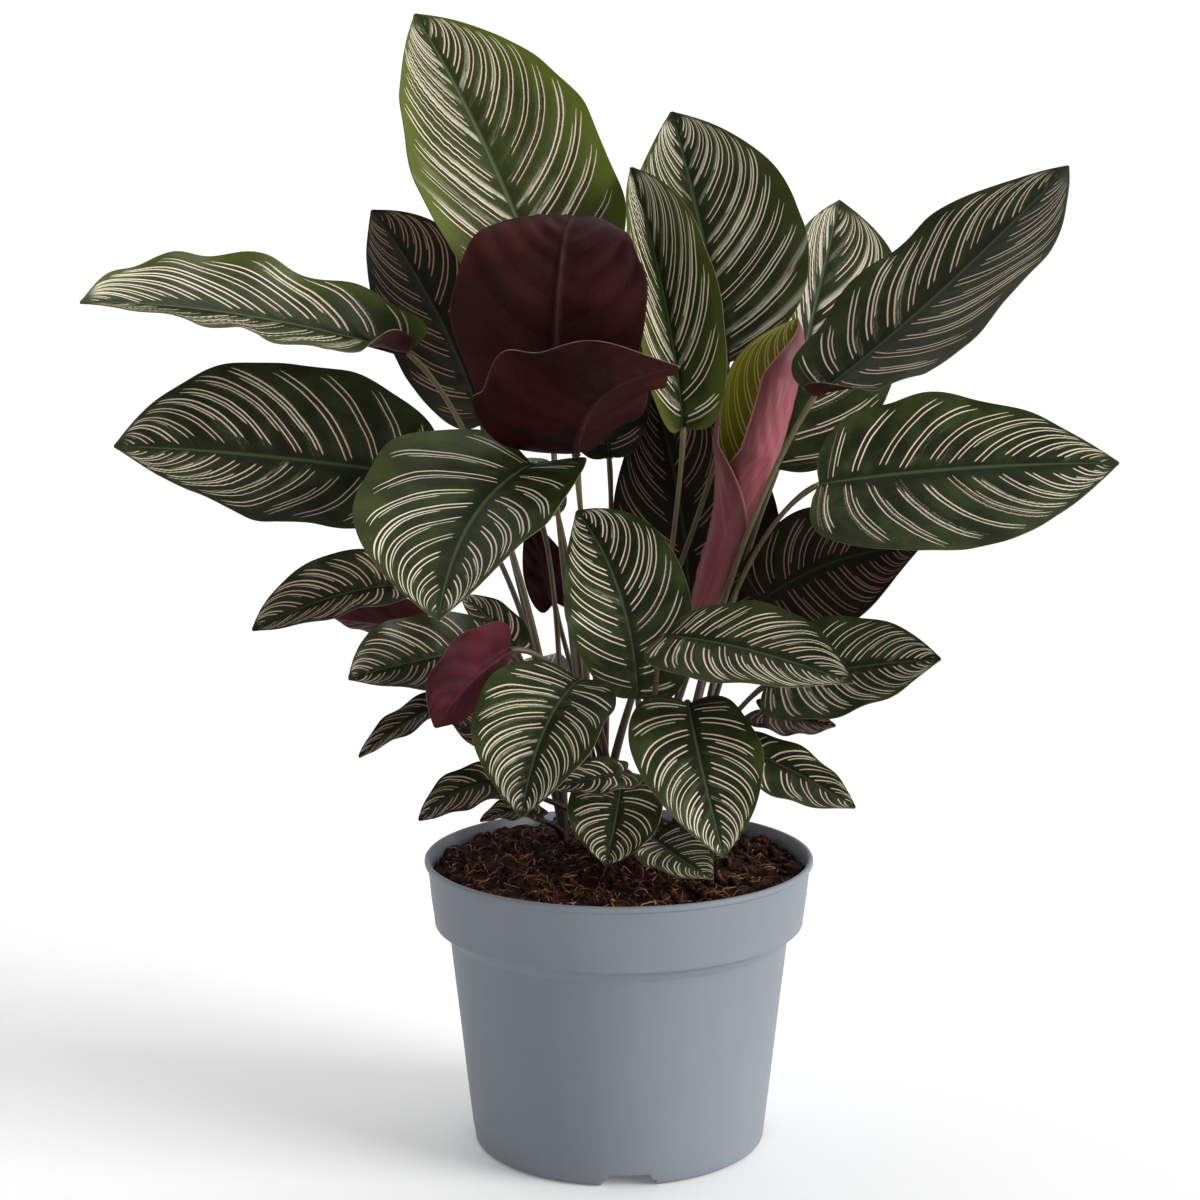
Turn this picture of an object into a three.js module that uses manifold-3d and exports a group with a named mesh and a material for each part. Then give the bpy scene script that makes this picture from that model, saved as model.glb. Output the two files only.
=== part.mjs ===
// Potted pinstripe calathea: a plastic nursery pot filled with soil, eight
// shoots of stalks that stand in the soil, and one thin blade for every leaf.
//
// Millimetres, +Z up. The origin is the middle of the pot's foot, on the
// surface that it stands on. The plant's fullest side faces -Y, with +X to
// its right.

import * as THREE from 'three';
import { mergeVertices } from 'three/addons/utils/BufferGeometryUtils.js';
import Module from 'manifold-3d';

const wasm = await Module();
wasm.setup();

// --- Driving dimensions -----------------------------------------------------

// Pot: a 19 cm nursery pot with a stacking collar below its rim.
const POT_HEIGHT = 143;
const RIM_RADIUS = 95;
const LIP_HEIGHT = 4;
const COLLAR_TOP_RADIUS = 93;
const COLLAR_BOTTOM_RADIUS = 90.2;
const COLLAR_BOTTOM_Z = 111;
const SHOULDER_Z = 100;
const BODY_TOP_RADIUS = 82.4;
const BODY_BOTTOM_RADIUS = 71.8;
const FOOT_ROUNDING = 3;
const WALL = 2;
const FLOOR_THICKNESS = 2.4;
const POT_SEGMENTS = 44;

// Drain channels: raised troughs under the pot's edge, each with a hole.
const CHANNEL_COUNT = 4;
const CHANNEL_HEIGHT = 6;
const CHANNEL_MOUTH_WIDTH = 26;
const CHANNEL_TOP_WIDTH = 19;
const CHANNEL_DEPTH = 24;
const CHANNEL_ANGLE = -86;
const DRAIN_HOLE_RADIUS = 4;

// Soil: fills the pot to a little below the rim, heaped round the shoots.
const SOIL_Z = 135.5;
const SOIL_HEAP = 3;
const SOIL_HEAP_RADIUS = 60;
const SOIL_BUMP = 1.4;
const SOIL_HEAP_CENTRE = [-12, 28];
const SOIL_SEGMENTS = 32;
const CLEARANCE = 0.3;

// Shoots: each stands in a plain round hole in the soil.
const CROWN_RADIUS = 6.5;
const CROWN_DEPTH = 22;
const CROWN_NECK_RADIUS = 4;
const CROWN_TOP = 18;
const HOLE_SIDES = 12;
const STALK_SIDES = 5;
const STALK_STEPS = 6;
const STALK_GAP = 0.7;

// Blades.
const BLADE_THICKNESS = 0.8;
const MIDRIB_DEPTH = 1.3;
const STALK_END_WIDTH = 1.3;
const TIP_WIDTH = 0.5;
const SMALL_BLADE = 25;

// Corners lie on a grid with this many lines to a millimetre.
const GRID = 256;

// --- The plant ----------------------------------------------------------------

// Where each shoot stands in the soil, [x, y].
const SHOOTS = {
  shoot_left: [-28, 38],
  shoot_front_left: [-15, 22],
  shoot_front: [-1, 10],
  shoot_front_right: [15, 7],
  shoot_right: [28, 18],
  shoot_back_right: [36, 38],
  shoot_centre: [12, 32],
  shoot_back: [-8, 46],
};

// What most blades share. Angles are in degrees, widths in millimetres.
const USUAL_BLADE = {
  left: 30, // half width left of the midrib, with the upper side in view
  right: 30, // half width right of it
  widest: [0.42, 0.42], // where each half is widest, as a share of the length
  point: [2, 2], // how long each half stays full before it tapers to the tip
  fold: [10, 10], // how far the left and right halves rise from the midrib
  // Shares of the length, and how far the left and right halves bend further on their way
  // to the margin there.
  cup: [[0, 8, 8]],
  ripple: 1.2, // height of the waves along the margins
  waves: 3, // how many of them there are
  phase: 0, // where along a wave the stalk's end starts
  lobe: [16, 16], // how strongly each half's base reaches back past the stalk
  columns: 3, // facets across each half
  rows: 9, // facets along the blade
  lean: 0.5, // how far the stalk comes in from the blade's underside
  reach: 0.22, // how much of the stalk's length bends towards the blade
  rise: 0.3, // how much of it goes straight up from the soil
  stalk: 1.8, // radius of the stalk below the blade
};

// Every leaf: where its blade starts, its midrib's middle, its tip, and the
// direction that its upper side faces there (facing, and facingTip if the
// blade twists). All in millimetres from the origin.
const LEAVES = [
  // Upright leaves at the top.
  { name: 'leaf_tall_left', shoot: 'shoot_back', base: [-30, 30, 399], middle: [-63, 62, 479],
    tip: [-102, 90, 551], facing: [0.35, -0.9, 0.3], left: 52, right: 54, fold: [18, 14],
    widest: [0.4, 0.45], point: [2.1, 2.2] },
  { name: 'leaf_top_right', shoot: 'shoot_back', base: [53, 45, 380], middle: [42, 85, 442],
    tip: [27, 120, 504], facing: [-0.1, -0.85, 0.5], left: 38, right: 51, fold: [15, 12],
    widest: [0.42, 0.38], point: [2, 2.4], lobe: [16, 4] },
  { name: 'leaf_top_centre', shoot: 'shoot_centre', base: [31, 10, 352], middle: [22, 22, 412],
    tip: [6, 60, 475], facing: [0.15, -0.95, 0.2], left: 30, right: 30, fold: [45, 40],
    point: [2, 3] },
  { name: 'leaf_behind_right', shoot: 'shoot_back_right', base: [79, 50, 327], middle: [96, 85, 392],
    tip: [116, 140, 459], facing: [0.4, -0.75, 0.5], left: 36, right: 47, fold: [25, 15],
    widest: [0.42, 0.5], point: [2.2, 3.6], lobe: [4, 4] },
  { name: 'leaf_far_right_high', shoot: 'shoot_right', base: [92, -25, 370], middle: [145, -20, 413],
    tip: [211, 0, 475], facing: [-0.45, -0.6, 0.66], left: 36, right: 46, fold: [8, 8], ripple: 2.5,
    widest: [0.5, 0.45], point: [3, 3], lobe: [26, 18],
    cup: [[0, 8, 130], [0.1, 8, 85], [0.2, 8, 30], [0.32, 8, 8]] },
  { name: 'leaf_under_upper', shoot: 'shoot_front_left', base: [-31, -3, 350], middle: [-26, -25, 437],
    tip: [-16, 45, 445], facing: [0, 1, 0.1], facingTip: [0, 0.2, -1], left: 40, right: 47,
    fold: [-8, -8], widest: [0.3, 0.3], point: [1.6, 1.6], cup: [[0, -8, -8], [0.4, 14, 14], [1, 30, 30]] },
  { name: 'leaf_under_lower', shoot: 'shoot_front_left', base: [-20, -20, 342], middle: [-8, -65, 372],
    tip: [26, -105, 388], facing: [-0.2, 0.5, 0.84], left: 32, right: 52, ripple: 2.5,
    widest: [0.4, 0.42], point: [2.6, 2.6] },
  { name: 'leaf_dark_left', shoot: 'shoot_left', base: [-68, 55, 349], middle: [-92, 80, 403],
    tip: [-127, 110, 454], facing: [0.3, -0.85, 0.4], left: 35, right: 34, point: [2, 3.4] },
  { name: 'leaf_far_left_high', shoot: 'shoot_left', base: [-101, 0, 388], middle: [-176, -30, 407],
    tip: [-240, -70, 414], facing: [0, -0.7, 0.7], left: 38, right: 28, fold: [28, 28], ripple: 2.5,
    widest: [0.42, 0.45], point: [2, 3], lobe: [10, 40],
    cup: [[0, 120, 8], [0.1, 75, 8], [0.2, 25, 8], [0.32, 8, 8]] },
  { name: 'leaf_left', shoot: 'shoot_left', base: [-90, 0, 328], middle: [-165, -10, 339],
    tip: [-235, -30, 346], facing: [0, -0.8, 0.6], left: 42, right: 48, point: [2, 2.5] },
  { name: 'leaf_round_left', shoot: 'shoot_front_left', base: [-41, -25, 337], middle: [-66, -82, 317],
    tip: [-77, -140, 282], facing: [-0.1, -0.5, 0.85], left: 42, right: 56, lobe: [36, 44] },
  // The rolled young leaf.
  { name: 'leaf_rolled', shoot: 'shoot_centre', base: [39.5, 25, 247], middle: [65.5, 30.5, 316],
    tip: [87, 37, 402], facing: [-0.6, -0.8, 0.1], left: 46, right: 42, widest: [0.38, 0.75],
    point: [5, 3.5], fold: [0, 0], ripple: 0, lobe: [0, 0], columns: 8, rows: 10,
    cup: [[0, 285, 285], [0.36, 285, 285], [0.5, 220, 230], [0.62, 158, 162], [0.76, 140, 156],
      [0.84, 122, 156], [0.92, 108, 127], [1, 90, 95]] },
  // Leaves that reach right.
  { name: 'leaf_right', shoot: 'shoot_right', base: [96, 0, 325], middle: [164, 5, 332],
    tip: [241, 10, 334], facing: [0, -0.75, 0.66], left: 38, right: 56, lobe: [4, 40] },
  { name: 'leaf_dark_right', shoot: 'shoot_back_right', base: [69, 30, 263], middle: [106, 25, 284],
    tip: [146, 10, 293], facing: [-0.3, -0.8, 0.5], left: 28, right: 42, point: [2, 2.5] },
  { name: 'leaf_dark_centre', shoot: 'shoot_centre', base: [35, 57, 239], middle: [32, 72, 299],
    tip: [17, 102, 365], facing: [-0.1, -0.9, 0.35], left: 36, right: 50 },
  { name: 'leaf_front_centre', shoot: 'shoot_front_right', base: [9, -35, 228], middle: [0, -30, 278],
    tip: [-20, -16, 314], facing: [0, -1, 0.15], left: 27, right: 31, point: [2, 2.6], lobe: [4, 16] },
  { name: 'leaf_low_right', shoot: 'shoot_front_right', base: [21, -60, 262], middle: [59, -76, 258],
    tip: [104, -99, 247], facing: [0.1, -0.6, 0.8], left: 25, right: 34, widest: [0.55, 0.42],
    lobe: [-10, 20], rise: 0.1, reach: 0.05 },
  { name: 'leaf_low_far_right', shoot: 'shoot_right', base: [70, -20, 231], middle: [109, -30, 241],
    tip: [150, -45, 248], facing: [0, -0.65, 0.75], left: 27, right: 34, point: [2.2, 2.8] },
  { name: 'leaf_brown_right', shoot: 'shoot_right', base: [69, -5, 215], middle: [86, -10, 212],
    tip: [104, -15, 210], facing: [0, -0.5, 0.85], left: 9, right: 16 },
  { name: 'leaf_bottom_right', shoot: 'shoot_right', base: [60, -20, 200], middle: [86, -32, 190],
    tip: [111, -45, 177], facing: [0.2, -0.6, 0.75], left: 13, right: 24, point: [2, 2.6] },
  // Leaves that hang in front.
  { name: 'leaf_hanging_right', shoot: 'shoot_front_right', base: [32, -65, 231], middle: [38, -95, 204],
    tip: [47, -105, 169], facing: [0, -0.85, 0.5], left: 27, right: 30, widest: [0.45, 0.34],
    point: [2.1, 1.6], lobe: [10, 20] },
  { name: 'leaf_hanging_left', shoot: 'shoot_front', base: [-19, -60, 241], middle: [-34, -95, 223],
    tip: [-43, -115, 190], facing: [-0.15, -0.8, 0.6], left: 28, right: 33, lobe: [10, 16] },
  { name: 'leaf_small_front', shoot: 'shoot_front', base: [1, -25, 183], middle: [-2, -45, 169],
    tip: [-6, -55, 152], facing: [0, -0.8, 0.6], left: 21, right: 23 },
  { name: 'leaf_small_right', shoot: 'shoot_front_right', base: [17, -15, 155], middle: [29, -35, 150],
    tip: [44, -50, 144], facing: [0, -0.4, 0.9], left: 17, right: 20 },
  { name: 'leaf_small_left', shoot: 'shoot_front', base: [4, -30, 191], middle: [-14, -45, 191],
    tip: [-32, -55, 189], facing: [0.1, -0.5, 0.85], left: 14, right: 9 },
  // Leaves low on the left.
  { name: 'leaf_low_far_left', shoot: 'shoot_left', base: [-107, 20, 273], middle: [-138, 10, 269],
    tip: [-177, 0, 254], facing: [0.1, -0.75, 0.65], left: 17, right: 19, fold: [22, 22], point: [2.4, 3] },
  { name: 'leaf_under_left', shoot: 'shoot_left', base: [-95, 26, 255], middle: [-118, 21, 255],
    tip: [-140, 16, 258], facing: [0, 0.7, 0.7], left: 14, right: 16 },
  { name: 'leaf_low_left', shoot: 'shoot_front_left', base: [-60, -27, 251], middle: [-95, -45, 247],
    tip: [-124, -63, 242], facing: [0, -0.7, 0.7], left: 26, right: 21, fold: [18, 18], point: [2.2, 2.8] },
  { name: 'leaf_under_low_left', shoot: 'shoot_front', base: [-51, -60, 255], middle: [-68, -75, 243],
    tip: [-83, -85, 224], facing: [-0.2, 0.8, 0.5], left: 20, right: 20, point: [2.6, 2.6] },
  { name: 'leaf_narrow_left', shoot: 'shoot_front', base: [-78, -40, 228], middle: [-99, -55, 220],
    tip: [-119, -70, 207], facing: [-0.2, -0.6, 0.8], left: 9, right: 9 },
  { name: 'leaf_bottom_left', shoot: 'shoot_front', base: [-51, -30, 185], middle: [-73, -40, 185],
    tip: [-94, -45, 171], facing: [-0.1, -0.6, 0.8], left: 16, right: 11 },
  { name: 'leaf_behind_round', shoot: 'shoot_front_left', base: [-49, 5, 242], middle: [-61, 0, 258],
    tip: [-76, -5, 272], facing: [0.2, -0.8, 0.5], left: 12, right: 10 },
  { name: 'leaf_behind_hanging', shoot: 'shoot_front', base: [-35, -25, 215], middle: [-56, -35, 210],
    tip: [-78, -45, 218], facing: [0, -0.7, 0.7], left: 18, right: 18 },
  { name: 'leaf_over_soil', shoot: 'shoot_left', base: [-39, 15, 158], middle: [-53, 10, 162],
    tip: [-68, 5, 158], facing: [0, -0.4, 0.9], left: 9, right: 7 },
  { name: 'leaf_under_centre', shoot: 'shoot_back', base: [-33, 64, 258], middle: [-38, 68, 276],
    tip: [-46, 74, 299], facing: [0, 0.95, -0.3], left: 11, right: 11 },
  // Leaves on the far side.
  { name: 'leaf_back_left', shoot: 'shoot_left', base: [-40, 70, 300], middle: [-75, 115, 320],
    tip: [-105, 139, 300], facing: [-0.2, 0.3, 0.9], left: 30, right: 30 },
  { name: 'leaf_back_centre', shoot: 'shoot_back', base: [25, 75, 280], middle: [30, 115, 297],
    tip: [35, 140, 275], facing: [0, 0.3, 0.95], left: 26, right: 26 },
  { name: 'leaf_back_right', shoot: 'shoot_back_right', base: [60, 75, 250], middle: [95, 115, 262],
    tip: [120, 138, 240], facing: [0.2, 0.3, 0.9], left: 26, right: 26 },
  { name: 'leaf_back_low_left', shoot: 'shoot_back', base: [-35, 70, 215], middle: [-60, 110, 215],
    tip: [-80, 136, 190], facing: [-0.2, 0.4, 0.9], left: 22, right: 22 },
  { name: 'leaf_back_low_right', shoot: 'shoot_back_right', base: [30, 75, 190], middle: [45, 110, 185],
    tip: [55, 136, 162], facing: [0.1, 0.5, 0.85], left: 20, right: 20 },
  { name: 'leaf_back_upright', shoot: 'shoot_back', base: [-5, 80, 330], middle: [-12, 115, 385],
    tip: [-20, 137, 430], facing: [0, -0.8, 0.5], left: 26, right: 26 },
];

// --- Helpers --------------------------------------------------------------------

const radians = THREE.MathUtils.degToRad;

// Moves a coordinate onto the grid, so that faces that meet share their corners exactly.
function onGrid(value) {
  return Math.round(value * GRID) / GRID;
}

// A closed geometry as a solid that can be cut and joined.
function toSolid(geometry) {
  const bare = geometry.clone();
  bare.deleteAttribute('normal');
  bare.deleteAttribute('uv');
  const merged = mergeVertices(bare, 1e-4);
  return new wasm.Manifold(new wasm.Mesh({
    numProp: 3,
    vertProperties: Float32Array.from(merged.attributes.position.array, onGrid),
    triVerts: new Uint32Array(merged.index.array),
  }));
}

// A solid as a geometry again.
function toGeometry(solid) {
  const mesh = solid.getMesh();
  const geometry = new THREE.BufferGeometry();
  geometry.setAttribute('position', new THREE.BufferAttribute(new Float32Array(mesh.vertProperties), 3));
  geometry.setIndex(new THREE.BufferAttribute(new Uint32Array(mesh.triVerts), 1));
  geometry.computeVertexNormals();
  return geometry;
}

// A body of revolution about Z from [radius, z] points that start and end on the axis.
function turned(points, segments) {
  const profile = points.map(([radius, z]) => new THREE.Vector2(radius, z));
  return new THREE.LatheGeometry(profile, segments).rotateX(Math.PI / 2);
}

// --- Pot ------------------------------------------------------------------------

// The body's outer radius at a height below the shoulder.
function bodyRadius(z) {
  return THREE.MathUtils.mapLinear(z, FOOT_ROUNDING, SHOULDER_Z, BODY_BOTTOM_RADIUS, BODY_TOP_RADIUS);
}

// The cavity's [radius, z] points, drawn in by a gap on every side.
function cavityProfile(gap, top) {
  const inset = WALL + gap;
  return [
    [0, FLOOR_THICKNESS + gap],
    [BODY_BOTTOM_RADIUS - inset - FOOT_ROUNDING, FLOOR_THICKNESS + gap],
    [bodyRadius(FLOOR_THICKNESS + FOOT_ROUNDING) - inset, FLOOR_THICKNESS + FOOT_ROUNDING + gap],
    [BODY_TOP_RADIUS - inset, SHOULDER_Z],
    [COLLAR_BOTTOM_RADIUS - inset, COLLAR_BOTTOM_Z],
    ...top,
  ];
}

// One drain channel's prism, grown outwards by a wall, at an angle in degrees.
function channelPrism(angle, grow) {
  const section = new THREE.Shape();
  section.moveTo(-CHANNEL_MOUTH_WIDTH / 2 - grow, -1);
  section.lineTo(CHANNEL_MOUTH_WIDTH / 2 + grow, -1);
  section.lineTo(CHANNEL_TOP_WIDTH / 2 + grow, CHANNEL_HEIGHT + grow);
  section.lineTo(-CHANNEL_TOP_WIDTH / 2 - grow, CHANNEL_HEIGHT + grow);
  const inner = BODY_BOTTOM_RADIUS - CHANNEL_DEPTH - grow;
  const prism = new THREE.ExtrudeGeometry(section, { depth: CHANNEL_DEPTH + 12, bevelEnabled: false });
  prism.rotateX(Math.PI / 2);
  prism.rotateZ(Math.PI / 2);
  prism.translate(inner, 0, 0);
  return prism.rotateZ(radians(angle));
}

function channelAngles() {
  return Array.from({ length: CHANNEL_COUNT }, (_, i) => CHANNEL_ANGLE + (360 / CHANNEL_COUNT) * i);
}

function makePot() {
  const outside = toSolid(turned([
    [0, 0],
    [BODY_BOTTOM_RADIUS - FOOT_ROUNDING, 0],
    [BODY_BOTTOM_RADIUS - FOOT_ROUNDING * 0.3, FOOT_ROUNDING * 0.3],
    [BODY_BOTTOM_RADIUS, FOOT_ROUNDING],
    [BODY_TOP_RADIUS, SHOULDER_Z],
    [COLLAR_BOTTOM_RADIUS - 1.5, COLLAR_BOTTOM_Z - 3],
    [COLLAR_BOTTOM_RADIUS, COLLAR_BOTTOM_Z],
    [COLLAR_TOP_RADIUS, POT_HEIGHT - LIP_HEIGHT - 2],
    [RIM_RADIUS, POT_HEIGHT - LIP_HEIGHT + 1],
    [RIM_RADIUS, POT_HEIGHT - 0.8],
    [RIM_RADIUS - 0.8, POT_HEIGHT],
    [0, POT_HEIGHT],
  ], POT_SEGMENTS));
  const cavity = toSolid(turned(cavityProfile(0, [
    [COLLAR_TOP_RADIUS - WALL, POT_HEIGHT - LIP_HEIGHT - 2],
    [RIM_RADIUS - WALL - 0.8, POT_HEIGHT + 1],
    [0, POT_HEIGHT + 1],
  ]), POT_SEGMENTS));
  let pot = outside.subtract(cavity);
  for (const angle of channelAngles()) {
    const trough = toSolid(channelPrism(angle, WALL)).intersect(outside);
    const hollow = toSolid(channelPrism(angle, 0));
    const hole = new THREE.CylinderGeometry(DRAIN_HOLE_RADIUS, DRAIN_HOLE_RADIUS, 20, HOLE_SIDES);
    hole.rotateX(Math.PI / 2);
    hole.translate(BODY_BOTTOM_RADIUS - CHANNEL_DEPTH / 2, 0, 8);
    hole.rotateZ(radians(angle));
    pot = pot.add(trough).subtract(hollow).subtract(toSolid(hole));
  }
  return toGeometry(pot);
}

// --- Soil -----------------------------------------------------------------------

// Height of the soil's surface at a point.
function soilHeight(x, y) {
  const away = Math.hypot(x - SOIL_HEAP_CENTRE[0], y - SOIL_HEAP_CENTRE[1]);
  const heap = SOIL_HEAP * Math.exp(-((away / SOIL_HEAP_RADIUS) ** 2));
  const bumps = Math.sin(x * 0.21 + 1) * Math.cos(y * 0.17) + 0.6 * Math.sin(x * 0.09 - y * 0.13);
  return SOIL_Z + heap + SOIL_BUMP * bumps;
}

function makeSoil() {
  const edge = COLLAR_TOP_RADIUS - WALL - 2 * CLEARANCE;
  const rings = [1, 0.84, 0.65, 0.44, 0.22].map((share) => [edge * share, SOIL_Z]);
  const geometry = turned(cavityProfile(CLEARANCE, [...rings, [0, SOIL_Z]]), SOIL_SEGMENTS);
  const position = geometry.attributes.position;
  for (let i = 0; i < position.count; i += 1) {
    if (position.getZ(i) > SOIL_Z - 1) {
      position.setZ(i, soilHeight(position.getX(i), position.getY(i)));
    }
  }
  let soil = toSolid(geometry);
  for (const angle of channelAngles()) {
    soil = soil.subtract(toSolid(channelPrism(angle, WALL + CLEARANCE)));
  }
  for (const [x, y] of Object.values(SHOOTS)) {
    const depth = CROWN_DEPTH + CLEARANCE;
    const radius = CROWN_RADIUS + CLEARANCE;
    const hole = new THREE.CylinderGeometry(radius, radius, depth + 20, HOLE_SIDES);
    hole.rotateX(Math.PI / 2);
    hole.translate(x, y, SOIL_Z - depth + (depth + 20) / 2);
    soil = soil.subtract(toSolid(hole));
  }
  return toGeometry(soil);
}

// --- Leaves ---------------------------------------------------------------------

// A leaf's own values over the usual ones, with its midrib as a curve.
function readLeaf(entry) {
  const leaf = { ...USUAL_BLADE, ...entry };
  const base = new THREE.Vector3(...leaf.base);
  const tip = new THREE.Vector3(...leaf.tip);
  const middle = new THREE.Vector3(...leaf.middle);
  const control = middle.multiplyScalar(2).addScaledVector(base, -0.5).addScaledVector(tip, -0.5);
  leaf.midrib = new THREE.QuadraticBezierCurve3(base, control, tip);
  leaf.upBase = new THREE.Vector3(...leaf.facing).normalize();
  leaf.upTip = new THREE.Vector3(...(leaf.facingTip ?? leaf.facing)).normalize();
  if (Math.max(leaf.left, leaf.right) < SMALL_BLADE) {
    leaf.columns = Math.min(leaf.columns, 2);
    leaf.rows = Math.min(leaf.rows, 7);
  }
  return leaf;
}

// The direction along the midrib, the upper side's and the right half's.
function bladeFrame(leaf, u) {
  const along = leaf.midrib.getTangent(u).normalize();
  const up = leaf.upBase.clone().lerp(leaf.upTip, u);
  up.addScaledVector(along, -up.dot(along)).normalize();
  const right = new THREE.Vector3().crossVectors(along, up);
  return { along, up, right };
}

// How far one half bends on its way to the margin, in degrees.
function cupAt(leaf, side, u) {
  const next = leaf.cup.findIndex(([place]) => place > u);
  if (next < 1) return leaf.cup.at(next)[side + 1];
  const [[start, ...before], [end, ...after]] = leaf.cup.slice(next - 1, next + 1);
  return THREE.MathUtils.mapLinear(u, start, end, before[side], after[side]);
}

// The outline: a round base, and a taper that ends in a point.
function outline(leaf, side, u) {
  const widest = leaf.widest[side];
  if (u < widest) {
    const back = (widest - u) / widest;
    return Math.sqrt(Math.max(0, 1 - back * back));
  }
  return 1 - ((u - widest) / (1 - widest)) ** leaf.point[side];
}

// A point of the blade's middle surface: u runs from base to tip, v from -1
// at the left margin to 1 at the right one. The lobes reach back past the base.
function bladePoint(leaf, u, v, lobes = 1) {
  const { along, up, right } = bladeFrame(leaf, u);
  const side = v < 0 ? 0 : 1;
  const sign = v < 0 ? -1 : 1;
  const share = Math.abs(v);
  const end = THREE.MathUtils.lerp(STALK_END_WIDTH, TIP_WIDTH, u);
  const width = end + (side ? leaf.right : leaf.left) * outline(leaf, side, u);
  const fold = radians(leaf.fold[side]);
  const bend = radians(cupAt(leaf, side, u)) || 1e-6;
  const turn = fold + bend * share;
  const across = (width / bend) * (Math.sin(turn) - Math.sin(fold));
  const lift = (width / bend) * (Math.cos(fold) - Math.cos(turn));
  const wave = leaf.ripple * share * share * outline(leaf, side, u)
    * Math.sin(2 * Math.PI * (leaf.waves * u + leaf.phase + 0.35 * side));
  const back = lobes * leaf.lobe[side] * share * outline(leaf, side, u) * (1 - u) ** 4;
  return leaf.midrib.getPoint(u)
    .addScaledVector(right, sign * (across - wave * Math.sin(turn)))
    .addScaledVector(up, lift + wave * Math.cos(turn))
    .addScaledVector(along, -back);
}

// The upper side's direction at a point of the blade. The lobes lie in the blade's own
// surface, so they are left out.
function bladeNormal(leaf, u, v) {
  const step = 0.01;
  const behind = bladePoint(leaf, Math.max(0, u - step), v, 0);
  const along = bladePoint(leaf, Math.min(1, u + step), v, 0).sub(behind);
  const near = Math.abs(v) < step ? 0 : Math.sign(v);
  const low = Math.max(-1, v - (near > 0 ? step * near : step));
  const high = Math.min(1, v + (near < 0 ? -step * near : step));
  const across = bladePoint(leaf, u, high, 0).sub(bladePoint(leaf, u, low, 0));
  return new THREE.Vector3().crossVectors(across, along).normalize();
}

// Both faces of the blade on one grid, split alike, with a strip round them.
function makeBlade(leaf) {
  const columns = 2 * leaf.columns;
  const rows = leaf.rows;
  const points = [];
  const addFace = (sign) => {
    for (let row = 0; row <= rows; row += 1) {
      const even = row / rows;
      const u = even - (0.5 * Math.sin(2 * Math.PI * even)) / (2 * Math.PI);
      for (let column = 0; column <= columns; column += 1) {
        const v = (2 * column) / columns - 1;
        const ridge = sign < 0 && column === leaf.columns ? MIDRIB_DEPTH * (1 - u) : 0;
        const offset = sign * (BLADE_THICKNESS / 2 + ridge);
        const point = bladePoint(leaf, u, v).addScaledVector(bladeNormal(leaf, u, v), offset);
        points.push(new THREE.Vector3(...point.toArray().map(onGrid)));
      }
    }
  };
  addFace(1);
  addFace(-1);
  const lower = (rows + 1) * (columns + 1);
  const at = (row, column) => row * (columns + 1) + column;
  const index = [];
  for (let row = 0; row < rows; row += 1) {
    for (let column = 0; column < columns; column += 1) {
      const corners = [at(row, column), at(row, column + 1), at(row + 1, column + 1), at(row + 1, column)];
      const [a, b, c, d] = corners;
      index.push(b, c, a, c, d, a);
      index.push(lower + c, lower + b, lower + a, lower + d, lower + c, lower + a);
    }
  }
  const rim = [];
  for (let column = 0; column < columns; column += 1) rim.push(at(0, column));
  for (let row = 0; row < rows; row += 1) rim.push(at(row, columns));
  for (let column = columns; column > 0; column -= 1) rim.push(at(rows, column));
  for (let row = rows; row > 0; row -= 1) rim.push(at(row, 0));
  rim.forEach((a, i) => {
    const b = rim[(i + 1) % rim.length];
    index.push(lower + a, lower + b, a, lower + b, b, a);
  });
  const geometry = new THREE.BufferGeometry().setFromPoints(points);
  geometry.setIndex(index);
  geometry.computeVertexNormals();
  return geometry;
}

// The stalk's curve, from inside its shoot's crown to just short of the blade.
function stalkCurve(leaf) {
  const [x, y] = SHOOTS[leaf.shoot];
  const { along, up } = bladeFrame(leaf, 0);
  const start = new THREE.Vector3(x, y, soilHeight(x, y));
  const arrive = along.clone().addScaledVector(up, leaf.lean).normalize();
  const end = leaf.midrib.getPoint(0).addScaledVector(arrive, -STALK_GAP);
  const length = start.distanceTo(end);
  const above = new THREE.Vector3(x, y, start.z + length * leaf.rise);
  const below = end.clone().addScaledVector(arrive, -length * leaf.reach);
  return new THREE.CubicBezierCurve3(start, above, below, end);
}

// A stalk: a cylinder bent along its curve, thick at the sheath.
function makeStalk(leaf) {
  const curve = stalkCurve(leaf);
  const frames = curve.computeFrenetFrames(STALK_STEPS, false);
  const geometry = new THREE.CylinderGeometry(1, 1, STALK_STEPS, STALK_SIDES, STALK_STEPS);
  const position = geometry.attributes.position;
  for (let i = 0; i < position.count; i += 1) {
    const step = Math.round(position.getY(i) + STALK_STEPS / 2);
    const radius = leaf.stalk * (1 + 0.6 * (1 - step / STALK_STEPS) ** 2);
    const point = curve.getPointAt(step / STALK_STEPS)
      .addScaledVector(frames.binormals[step], radius * position.getX(i))
      .addScaledVector(frames.normals[step], radius * position.getZ(i));
    position.setXYZ(i, point.x, point.y, point.z);
  }
  return geometry;
}

// A shoot: its crown in the soil and all the stalks that rise from it.
function makeShoot(name, leaves) {
  const [x, y] = SHOOTS[name];
  const crown = turned([
    [0, SOIL_Z - CROWN_DEPTH],
    [CROWN_RADIUS, SOIL_Z - CROWN_DEPTH],
    [CROWN_RADIUS, soilHeight(x, y) + 1],
    [CROWN_NECK_RADIUS, soilHeight(x, y) + CROWN_TOP],
    [0, soilHeight(x, y) + CROWN_TOP + 2],
  ], HOLE_SIDES).translate(x, y, 0);
  let shoot = toSolid(crown);
  for (const leaf of leaves.filter((each) => each.shoot === name)) {
    shoot = shoot.add(toSolid(makeStalk(leaf)));
  }
  return toGeometry(shoot);
}

// --- The whole part -------------------------------------------------------------

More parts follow.
